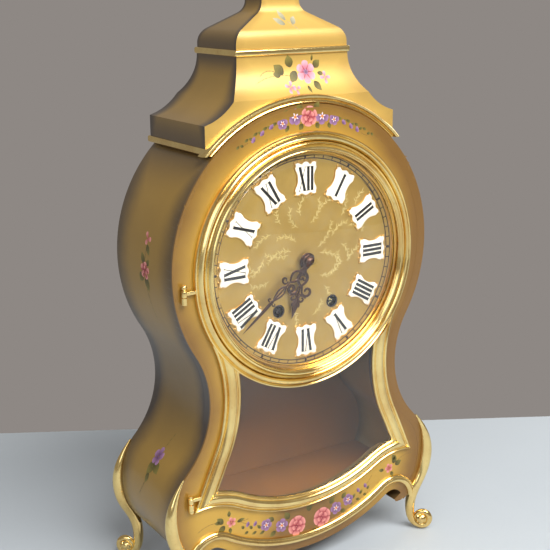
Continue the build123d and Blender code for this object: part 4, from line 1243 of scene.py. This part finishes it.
def bend(u, v, heading, turning, step, count):
    """Points along a curl that starts at (u, v) and turns by the same angle at each step."""
    points = [(u, v)]
    for _ in range(count):
        a = radians(heading)
        u, v = u + step * sin(a), v + step * cos(a)
        points.append((u, v))
        heading += turning
    return points


def bouquets():
    """Painted flowers on the front, the hood and the sides of the case."""
    round_pad = petal_blank("round_pad", 0)
    leaf_pad = petal_blank("leaf_pad", 0.8)

    # garlands under the hood and on the apron
    garland_rose, garland_deep = rose(1.2, 331.0, 7.0)
    for u, v in ((-9.5, 34.6), (12.9, 34.8)):
        light, deep = rose(u, v, 7.8)
        garland_rose, garland_deep = garland_rose + light, garland_deep + deep
    violet, dark_violet, hearts = [], [], []
    for u, v, r, tilt in (
        (-9.8, 331.2, 5.4, 10), (11.8, 330.2, 5.4, 40), (-19.8, 327.6, 4.0, 0), (21.6, 327.4, 4.0, 20),
        (-22.8, 38.6, 5.2, 15), (25.6, 38.4, 5.0, 50), (-36.0, 43.0, 4.6, 30), (36.7, 42.0, 4.6, 0),
    ):
        petals, inner, heart = pansy(u, v, r, tilt)
        violet, dark_violet, hearts = violet + petals, dark_violet + inner, hearts + heart
    for u, v, angle in (
        (-27.6, 325.0, -40), (-34.4, 321.6, -50), (-41.0, 318.0, -60), (28.7, 323.9, 50), (34.6, 321.0, 60),
        (39.8, 318.6, 70), (-44.0, 46.0, -60), (-50.0, 47.6, -70), (45.0, 46.4, 60), (51.6, 48.4, 60),
    ):
        for k in (-1, 0, 1):
            violet.append((u, v, angle + 38 * k, 2.9, 1.8, 1 + k * k))
    leaves = [
        (-4.0, 335.0, -50, 4.6, 2.6), (5.6, 335.2, 40, 4.6, 2.6), (-14.2, 334.0, -80, 4.2, 2.0),
        (16.0, 332.6, 75, 4.2, 2.0), (-4.0, 326.4, -150, 3.8, 2.2), (7.0, 326.2, 150, 3.6, 2.0),
        (-15.0, 326.0, -150, 3.8, 1.8), (17.0, 325.6, 160, 3.4, 1.6), (1.4, 43.0, 0, 5.6, 3.0),
        (-16.4, 42.0, -30, 5.4, 2.8), (20.0, 43.4, 40, 5.0, 2.6), (-14.0, 27.2, -150, 5.6, 2.8),
        (5.0, 28.0, 160, 4.4, 2.4), (-29.6, 44.4, -50, 4.4, 2.2), (31.0, 44.6, 40, 4.4, 2.2),
        (-28.0, 35.6, -120, 4.6, 2.2), (30.0, 35.4, 120, 4.2, 2.0), (18.4, 27.8, 130, 4.2, 2.2),
    ]
    garland_r = 96.5
    for side in (-1, 1):
        for k in range(9):
            arc = radians(14.5 + 2.35 * k) * side
            u, v = garland_r * sin(arc), crown[1] + garland_r * cos(arc) - 2.4 * (k % 2)
            leaves.append((u, v, degrees(arc) + side * (50 if k % 2 else 95), 3.6 - 0.16 * k, 1.1))
        for k in range(7):
            u, v = side * (34.0 + 3.4 * k), 40.4 + 0.62 * k + 0.045 * k * k - 2.2 * (k % 2)
            leaves.append((u, v, side * (110 if k % 2 else 40), 3.8 - 0.2 * k, 1.3))
    # a loose sprig at each end of the apron
    pinks, pink_deep = [], []
    for u, v, tilt in ((-64.6, 53.8, 60), (75.4, 57.4, -160)):
        pinks += ring_of(u, v, 5, tilt, 0.4, 3.4, 2.9, 1)
        pink_deep += ring_of(u, v, 3, tilt + 20, 0.2, 1.8, 0.8, 4)
    leaves += [
        (-71.4, 54.4, -40, 5.4, 2.6), (-70.0, 52.4, -130, 5.2, 2.6), (-73.4, 56.2, -90, 3.6, 1.8),
        (-66.4, 58.4, 0, 3.6, 1.6), (-60.0, 52.6, 80, 5.0, 1.6), (-66.0, 49.6, 170, 3.4, 1.5),
        (79.6, 60.2, 20, 5.2, 2.6), (81.4, 58.8, 70, 5.0, 2.6), (80.8, 62.4, -20, 4.4, 2.2),
        (70.4, 57.0, -80, 3.8, 1.6), (77.4, 53.8, 150, 3.6, 1.7),
    ]
    painted("front_roses", garland_rose + pinks, on_front, rose_paint, round_pad)
    painted("front_rose_shades", garland_deep + pink_deep, on_front, rose_shade, round_pad)
    painted("front_violets", violet, on_front, violet_paint, round_pad)
    painted("front_violet_streaks", dark_violet, on_front, pale_streak, leaf_pad)
    painted("front_hearts", hearts, on_front, orange_paint, round_pad)
    painted("front_leaves", fuller(leaves, 1.3, 2.1), on_front, leaf_green, leaf_pad)

    # thin sprays up the sides of the front, and the tendrils of the garlands
    left_spray = [
        (-99.2, 250.0), (-98.4, 262.0), (-95.0, 274.0), (-89.4, 285.0), (-81.4, 295.0), (-76.0, 300.0),
    ]
    right_spray = [(80.0, 301.0), (84.6, 294.0), (88.6, 286.0), (91.4, 278.0)]
    curls = twig(left_spray, 4.4, 3.6) + twig(right_spray, 3.6, 3.4)
    for start in (
        (-74.0, 56.0, -78, -7, 2.6, 7), (-60.0, 52.8, 104, -8, 2.4, 4), (-52.0, 48.6, -62, 6, 2.2, 4),
        (84.0, 62.0, 62, 7, 2.5, 6), (53.0, 48.8, 44, -3, 2.4, 4), (-46.0, 317.4, -118, 9, 2.0, 3),
        (44.6, 316.6, 122, -9, 2.0, 3),
    ):
        curls += twig(bend(*start))
    painted("front_twigs", curls, on_front, twig_brown, leaf_pad)

    # the wild rose on the hood
    tier_pinks = ring_of(8.3, 358.6, 6, 0, 1.0, 6.6, 5.6, 1)
    for u, v, tilt in ((-7.0, 349.6, 20), (22.9, 354.5, 0)):
        tier_pinks += ring_of(u, v, 4, tilt, 0.3, 3.9, 2.6, 1)
    tier_pinks += ring_of(-2.4, 348.4, 3, 70, 0.3, 3.0, 2.2, 1)
    painted("tier_wild_rose", tier_pinks, on_tier, pale_rose, round_pad)
    painted("tier_streaks", ring_of(8.3, 358.6, 6, 30, 0.8, 4.4, 0.8, 4), on_tier, rose_shade, leaf_pad)
    painted("tier_heart", ring_of(8.3, 358.6, 5, 0, 0.1, 1.7, 1.5, 7), on_tier, violet_paint, round_pad)
    tier_leaves = [
        (-9.6, 358.0, -48, 8.4, 5.6), (-3.6, 362.0, -10, 7.6, 5.0), (0.6, 359.4, -140, 8.4, 4.8),
        (15.0, 361.4, 50, 6.4, 4.2), (13.2, 352.4, 150, 6.4, 4.0), (17.4, 357.4, 95, 4.8, 2.2),
        (7.0, 350.0, 165, 4.6, 1.8), (-12.0, 357.4, -80, 5.6, 3.4), (14.0, 365.6, 10, 4.0, 1.4),
    ]
    painted("tier_leaves", fuller(tier_leaves, 1.1, 1.5), on_tier, leaf_green, leaf_pad)
    tendrils = twig(bend(-3.0, 356.4, -80, -4, 3.2, 9)) + twig(bend(-14.0, 358.4, -60, -14, 2.6, 6))
    painted("tier_tendrils", tendrils, on_tier, leaf_green, leaf_pad)
    sprig = fuller([(-2.6, 389.6, -62, 8.6, 4.6), (-0.8, 392.0, -25, 7.4, 4.4), (3.0, 389.6, 40, 6.6, 4.2)])
    sprig += twig(bend(0.0, 391.6, 130, 3, 2.6, 4))
    painted("bell_sprig", sprig, on_bell, grey_leaf, leaf_pad)

    # a rosebud high and a violet low on each side of the case
    u, v = 2.0, 233.0
    low_u, low_v = 0.0, 97.0
    buds = ring_of(u, v, 5, 10, 1.6, 4.6, 4.6, 1) + ring_of(u + 2.6, v + 22.0, 3, -30, 0.2, 4.6, 3.4, 1)
    buds += ring_of(u, v, 3, 0, 0.4, 2.8, 2.6, 5)
    bud_shades = ring_of(u, v, 6, 34, 0.2, 5.0, 1.8, 3) + ring_of(u, v, 2, 20, 0.0, 1.4, 1.2, 8)
    low_violet = ring_of(low_u, low_v, 5, 0, 0.3, 5.2, 4.4, 1)
    greens = [
        (u - 3.0, v - 2.0, -140, 7.0, 3.6), (u + 1.0, v - 4.0, 170, 8.0, 3.8),
        (u - 1.0, v + 4.6, -24, 6.4, 3.0), (u + 2.4, v + 18.0, 150, 6.0, 2.6),
        (u + 2.8, v + 4.0, 40, 4.6, 2.2), (low_u + 0.6, low_v - 3.6, -150, 8.0, 4.2),
        (low_u + 1.6, low_v - 3.6, 130, 6.6, 3.8), (low_u - 1.6, low_v - 11.0, 190, 6.0, 2.6),
    ]
    stems = twig(bend(u + 2.6, v + 21.0, 190, -2, 4.6, 12))
    stems += twig(bend(low_u + 0.6, low_v + 3.0, 10, 6, 3.6, 4))
    stems += twig(bend(low_u + 0.2, low_v - 3.0, 188, 4, 4.0, 7))
    for surface, tag in ((on_left, "left"), (on_right, "right")):
        painted(tag + "_rosebud", buds, surface, rose_paint, round_pad)
        painted(tag + "_bud_shade", bud_shades, surface, rose_shade, round_pad)
        painted(tag + "_violet", low_violet, surface, violet_paint, round_pad)
        painted(tag + "_leaves", fuller(greens, 1.3, 2.0), surface, leaf_green, leaf_pad)
        painted(tag + "_stems", stems, surface, leaf_green, leaf_pad)
    for spare in (round_pad, leaf_pad):
        bpy.data.objects.remove(spare)


def foliage():
    """Fine engraved sprays over the middle of the dial."""
    cut_pad = petal_blank("cut_pad", 0.8)
    strokes = []
    for u, v, heading, turning, count in (
        (-12.0, 8.0, -70, -9, 9), (-14.0, 6.0, -100, 5, 8), (-8.0, 14.0, -40, -11, 7),
        (-34.0, 6.0, -160, 8, 6), (-6.0, 24.0, -62, 12, 7), (4.0, 26.0, 60, -10, 8),
        (-4.0, 32.0, -20, 14, 6), (12.0, 34.0, 30, 12, 6), (10.0, 8.0, 60, -6, 9), (12.0, 4.0, 92, 6, 9),
        (22.0, 14.0, 24, 10, 7), (30.0, 8.0, 120, 12, 6), (12.0, -12.0, 104, -9, 9),
        (20.0, -14.0, 50, -7, 8), (16.0, -20.0, 140, 8, 6), (36.0, -6.0, 20, 9, 6),
        (-20.0, 28.0, -40, 12, 7), (-28.0, 22.0, -100, -8, 6), (30.0, 28.0, 40, -9, 7),
        (36.0, 20.0, 80, 10, 6), (-40.0, -2.0, -70, 12, 5), (-30.0, -10.0, -120, 9, 6),
        (42.0, 34.0, 10, 12, 5), (24.0, 40.0, -10, 12, 5), (-26.0, 40.0, -30, 14, 5),
        (-10.0, -34.0, 150, 9, 5), (6.0, -40.0, 60, -9, 5), (48.0, 14.0, 0, 14, 4),
    ):
        stem = bend(u, v, heading, turning, 2.3, count)
        strokes += [(*stroke[:4], 0.4, 0) for stroke in twig(stem)]
        for k, (x, z) in enumerate(stem[1:]):
            a = heading + turning * k
            side = 1 if k % 2 else -1
            strokes.append((x, z, a + side * 40, 3.8 - 0.2 * k, 0.46, 1))
            strokes.append((x, z, a - side * 62, 2.0, 0.4, 1))
    painted("engraved_sprays", strokes, on_dial, engraving, cut_pad, thick=0.06, slot="engraved_brass")
    bpy.data.objects.remove(cut_pad)


# ---------------------------------------------------------------- hands
def scroll_bar(name, points, radius, ends=0.55):
    """A flat curled bar in the plane of the dial; points (u, v) in mm."""
    spots = []
    for k, (u, v) in enumerate(points):
        share = k / (len(points) - 1)
        spots.append((u, 0, v, radius * (1 - (1 - ends) * abs(2 * share - 1))))
    bar = smooth_tube(name, spots, 3)
    bar.data.transform(Matrix.Diagonal((1.12, 0.5, 1, 1)))
    return bar


def curl(u, v, r, start, sweep, close=0.35, count=12):
    """Points of a scroll winding in towards (u, v)."""
    points = []
    for k in range(count + 1):
        share = k / count
        a = radians(start + sweep * share)
        reach = r * (1 - (1 - close) * share ** 1.4)
        points.append((u + reach * sin(a), v + reach * cos(a)))
    return points


def blade(name, points, thick):
    """A flat pointed blade, outline (u, v) in mm on its right side, mirrored to its left."""
    outline = points + [(-u, v) for u, v in reversed(points) if u > 0]
    piece = slab(name, [Vector((u, thick / 2, v)) for u, v in outline], thick)
    apply(piece, "BEVEL", width=0.12 * MM, segments=2, limit_method="ANGLE", angle_limit=radians(50))
    return piece


def boss(name, outer, inner, thick):
    """A turned collar round the middle."""
    shape = [(outer, -thick / 2), (outer, thick / 2 - 0.2), (outer - 0.25, thick / 2)]
    shape += [(inner + 0.2, thick / 2), (inner, thick / 2 - 0.2), (inner, -thick / 2)]
    piece = section(name, shape, (0.0, 0.0), 90, 0.0)
    turn((0.0, 0.0), 360, 64)
    return tidy(piece, 40, fill=False)


def set_hand(name, parts, node_name, angle):
    """Joins a hand's parts, points it, and puts it at its solid's depth."""
    made = joined(name, parts)
    low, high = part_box(node_name)
    placed = Matrix.Translation((0, (low.y + high.y) / 2, dial_z))
    made.data.transform(placed @ Matrix.Rotation(radians(angle), 4, "Y"))
    tidy(made, 45, fill=False, merge=0.000001)
    body = "hour" if node_name == "hour_hand" else "minute"
    settle(made, body, "bronze_hands", hand_bronze, node_name)


def scroll_work(bars):
    """Curled bars on the left and then on the right; each is (points of a side, radius, ends)."""
    return [scroll_bar("scroll", points(side), *rest) for side in (-1, 1) for points, *rest in bars]


def mirrored(points):
    return lambda side: [(side * u, v) for u, v in points]


def hands():
    """Pierced bronze hands with scrolls, and the nut that holds them."""
    parts = [boss("boss", 6.0, 3.1, 0.7), blade("neck", [(1.5, 5.0), (1.3, 9.4), (0.0, 10.2)], 0.6)]
    parts += scroll_work([
        (mirrored([(0, 7.5), (3.2, 9.0), (4.2, 12.4), (2.4, 15.6), (0.3, 17.4)]), 1.0, 0.9),
        (lambda side: curl(side * 1.2, 12.0, 1.9, side * 200, side * -330), 0.7),
        (
            lambda side: [(side * 0.4, 16.5)]
            + curl(side * 5.4, 20.4, 3.9, side * -110, side * 400, 0.3, 16),
            1.05,
        ),
        (lambda side: curl(side * 3.0, 26.4, 2.4, side * -150, side * 330), 0.85),
        (mirrored([(0.6, 23.0), (2.2, 24.4), (4.4, 24.0), (6.2, 25.2)]), 0.85, 0.5),
        (mirrored([(0.4, 28.5), (2.6, 29.2), (3.4, 31.2), (2.2, 32.4)]), 0.7, 0.6),
    ])
    spade = [(0.5, 16.6), (0.7, 24.0), (0.8, 28.0), (2.4, 30.6), (1.9, 34.0), (0.9, 38.0), (0.0, 41.0)]
    parts.append(blade("spade", spade, 0.6))
    set_hand("hour_hand_pierced", parts, "hour_hand", 199)

    parts = [boss("boss", 5.0, 2.1, 0.7), blade("neck", [(1.2, 4.2), (1.0, 9.6), (0.0, 10.4)], 0.6)]
    parts += scroll_work([
        (mirrored([(0, 9.0), (2.8, 11.0), (3.4, 14.4), (1.8, 17.2), (0.3, 19.0)]), 0.8, 0.9),
        (lambda side: curl(side * 3.6, 21.4, 2.5, side * -120, side * 380, 0.3, 14), 0.85),
        (mirrored([(0.3, 24.0), (2.1, 26.6), (2.4, 30.0), (1.4, 33.6), (0.3, 36.4)]), 0.66, 0.9),
        (lambda side: curl(side * 2.2, 38.4, 1.5, side * -120, side * 330, 0.35, 10), 0.6),
    ])
    rod = [(0.5, 18.4), (0.7, 36.0), (1.3, 41.0), (1.1, 50.0), (0.6, 61.0), (0.0, 68.0)]
    parts.append(blade("rod", rod, 0.55))
    set_hand("minute_hand_pierced", parts, "minute_hand", 232)

    low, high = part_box("hand_nut")
    deep = (high.y - low.y) / MM
    cap = deep + 1.1
    shape = [(3.55, 0.0), (3.55, deep * 0.6), (3.3, deep * 0.8), (2.9, deep), (2.2, cap - 0.3), (1.0, cap)]
    shape += [(0.7, cap), (0.7, cap - 0.25), (2.05, deep), (2.05, 0.0)]
    piece = section("hand_nut_turned", shape, (0.0, dial_z / MM), 90, high.y)
    turn((0.0, dial_z / MM), 360, 48)
    tidy(piece, 40, fill=False)
    settle(piece, "minute", "bronze_hands", hand_bronze, "hand_nut")


# ---------------------------------------------------------------- feet
scroll = (105.5, -45.85, 8.53)


def scroll_foot():
    """Right front foot: leaf on the case's corner, leg, rolled scroll and eye."""
    front = front_y / MM
    spots = []
    swell = (
        (95.5, 0.5, 0.8), (90, 1.3, 1.0), (82, 2.7, 1.2), (73, 3.9, 1.4), (64, 4.7, 1.4), (54, 4.8, 1.4),
        (45, 4.5, 1.4), (37, 4.2, 1.4),
    )
    for z, radius, off in swell:
        spots.append((half_at(z) + off, front + 0.2 - 0.2 * radius, z, radius))
    lean = 1 / sqrt(2)

    def on_scroll(out, z, radius):
        return (scroll[0] + out * lean, scroll[1] - out * lean, z, radius)

    spots.append((99.5, front + 0.6, 29.0, 4.1))
    spots.append(on_scroll(-9.4, 22.0, 3.9))
    spots.append(on_scroll(-9.6, 14.5, 3.6))
    spots.append(on_scroll(-8.0, 7.0, 3.2))
    coil = (
        (235, 6.3, 2.8), (275, 6.3, 2.7), (315, 6.4, 2.6), (0, 6.6, 2.5), (45, 6.6, 2.4), (90, 6.3, 2.2),
        (140, 5.4, 2.1), (190, 4.4, 1.9), (240, 3.6, 1.7), (290, 2.8, 1.5), (340, 2.2, 1.2),
    )
    for angle, reach, radius in coil:
        a = radians(angle)
        spots.append(on_scroll(reach * cos(a), scroll[2] + reach * sin(a), radius))
    bar = smooth_tube("foot", spots)
    rest_tools()
    eye_r = 4.6 * MM
    bpy.ops.mesh.primitive_uv_sphere_add(segments=32, ring_count=20, radius=eye_r)
    eye = bpy.context.object
    bpy.ops.object.mode_set(mode="EDIT")
    mesh = bmesh.from_edit_mesh(eye.data)
    for face in mesh.faces:
        face.select = 0.3 < abs(face.calc_center_median().z) / eye_r < 0.62
    bpy.ops.mesh.inset(thickness=0.25 * MM, depth=-0.3 * MM)
    rest_tools()
    eye.data.transform(Matrix.Rotation(radians(90), 4, "X"))
    eye.data.transform(Matrix.Rotation(radians(45), 4, "Z") @ Matrix.Diagonal((1, 1.05, 1, 1)))
    eye.data.transform(Matrix.Translation(Vector(scroll) * MM))
    tidy(eye, 40, fill=False, merge=0.000001)
    ridge = []
    for z, radius in ((91, 0.3), (84, 0.5), (76, 0.7), (66, 0.8), (56, 0.8), (47, 0.7), (40, 0.5)):
        rise = min(1, (96 - z) / 26)
        ridge.append((half_at(z) + 3.6 * rise + 0.6, front - 3.2 * rise - 0.2, z, radius))
    crest = smooth_tube("crest", ridge, 3)
    return joined("foot", [bar, eye, crest])


def feet():
    """The right front foot and its three copies."""
    right = scroll_foot()
    cut(right, (0, 0, 0), (0, 0, 1), keep_below=False)
    tidy(right, 50, fill=False, merge=0.000001)
    corners = (("front_right", 1, 1), ("front_left", -1, 1), ("back_right", 1, -1), ("back_left", -1, -1))
    for name, sx, sy in corners:
        copy = duplicate(right, "scroll_foot_" + name)
        copy.data.name = copy.name
        copy.data.transform(Matrix.Diagonal((sx, sy, 1, 1)))
        if sx * sy < 0:
            copy.data.flip_normals()
        settle(copy, "case", "polished_brass", brass, "foot_" + name)
    bpy.data.objects.remove(right)


# ---------------------------------------------------------------- room
def studio():
    """Pale table with its far edge behind the clock, grey room, three soft lamps."""
    rest_tools()
    bpy.ops.mesh.primitive_plane_add(size=1)
    table = bpy.context.object
    table.name = "table"
    edit()
    bpy.ops.transform.resize(value=(3.4, 2.2, 1))
    bpy.ops.transform.translate(value=(0, -1.1, 0))
    bpy.ops.mesh.subdivide(number_cuts=6)
    rest_tools()
    edge = radians(-29.7)
    table.data.transform(Matrix.Translation((0.118, 0.191, -0.0004)) @ Matrix.Rotation(edge, 4, "Z"))
    top = smooth_coat("table_top", rgb(182, 190, 198), rgb(172, 180, 188), 0.5, scale=3.0, specks=300.0)
    table.data.materials.append(top)
    world = bpy.data.worlds.new("room")
    bpy.context.scene.world = world
    bpy.context.scene.view_settings.view_transform = "Standard"
    world.use_nodes = True
    tree = world.node_tree
    wall = tree.nodes["Background"]
    wall.inputs[0].default_value = rgb(142, 136, 132)
    around = node(tree, "ShaderNodeBackground", {0: (1.0, 0.96, 0.9, 1.0), 1: 0.3})
    seen = node(tree, "ShaderNodeLightPath").outputs["Is Camera Ray"]
    mixed = node(tree, "ShaderNodeMixShader", {0: seen, 1: around.outputs[0], 2: wall.outputs[0]})
    feed(tree.nodes["World Output"], {"Surface": mixed.outputs[0]})

    def lamp(name, place, aim, size, power, colour):
        light = bpy.data.lights.new(name, "AREA")
        light.shape = "RECTANGLE"
        light.size, light.size_y = size
        light.energy = power
        light.color = colour
        holder = bpy.data.objects.new(name, light)
        bpy.context.scene.collection.objects.link(holder)
        holder.location = place
        holder.rotation_euler = (Vector(aim) - Vector(place)).to_track_quat("-Z", "Y").to_euler()

    middle = (0, 0, 0.24)
    lamp("key_box", (0.1, -1.05, 1.35), middle, (1.4, 0.8), 42.0, (1.0, 0.98, 0.94))
    lamp("fill_box", (-1.3, -0.9, 0.9), middle, (0.8, 1.0), 5.0, (0.97, 0.98, 1.0))
    lamp("rim_box", (1.3, 0.5, 0.9), middle, (0.5, 0.9), 3.0, (1.0, 0.98, 0.95))


def set_camera():
    """A long lens from the front left, looking a little down."""
    yaw, pitch, roll = radians(32.88), radians(15.39), radians(-0.51)
    sight = Vector((sin(yaw) * cos(pitch), cos(yaw) * cos(pitch), -sin(pitch)))
    right = Vector((cos(yaw), -sin(yaw), 0.0))
    up = right.cross(sight)
    level_right = right * cos(roll) + up * sin(roll)
    level_up = up * cos(roll) - right * sin(roll)
    lens = bpy.data.cameras.new("camera")
    lens.lens, lens.sensor_width = 69.83, 36.0
    lens.clip_start, lens.clip_end = 0.02, 50.0
    holder = bpy.data.objects.new("camera", lens)
    bpy.context.scene.collection.objects.link(holder)
    turned = Matrix((level_right, level_up, -sight)).transposed().to_4x4()
    holder.matrix_world = Matrix.Translation((-0.4023, -0.62195, 0.4170)) @ turned
    bpy.context.scene.camera = holder


slot_finish = {
    "painted_wood": case_paint,
    "plain_wood": wood,
    "polished_brass": brass,
    "engraved_brass": dial_gilt,
    "track_inlay": dark_inlay,
    "enamel": enamel,
    "glass": pane,
    "bronze_hands": hand_bronze,
    "steel": steel,
    "movement_brass": works_brass,
    "bell_metal": bell_bronze,
}


def finish_solids():
    """Each solid of the frame that stays in view takes the finish of its slot, or its own."""
    mouths = ("going_winding_arbor", "strike_winding_arbor", "winding_grommets")
    own = dict.fromkeys(mouths, dark_steel)
    own.update(dict.fromkeys(("back_board", "back_door", "base_board"), inner_gold))
    for name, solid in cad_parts.items():
        for held in solid.material_slots:
            held.material = own.get(name) or slot_finish[held.material.name.split(".")[0]]


finish_solids()
case_walls()
apron_trim()
hood_tier()
hood_bell()
hood_rails()
door_bars()
door_knuckles()
bezel()
dial_slope()
minute_marks()
hour_plates()
foliage()
hands()
bouquets()
feet()
studio()
set_camera()
rest_tools()
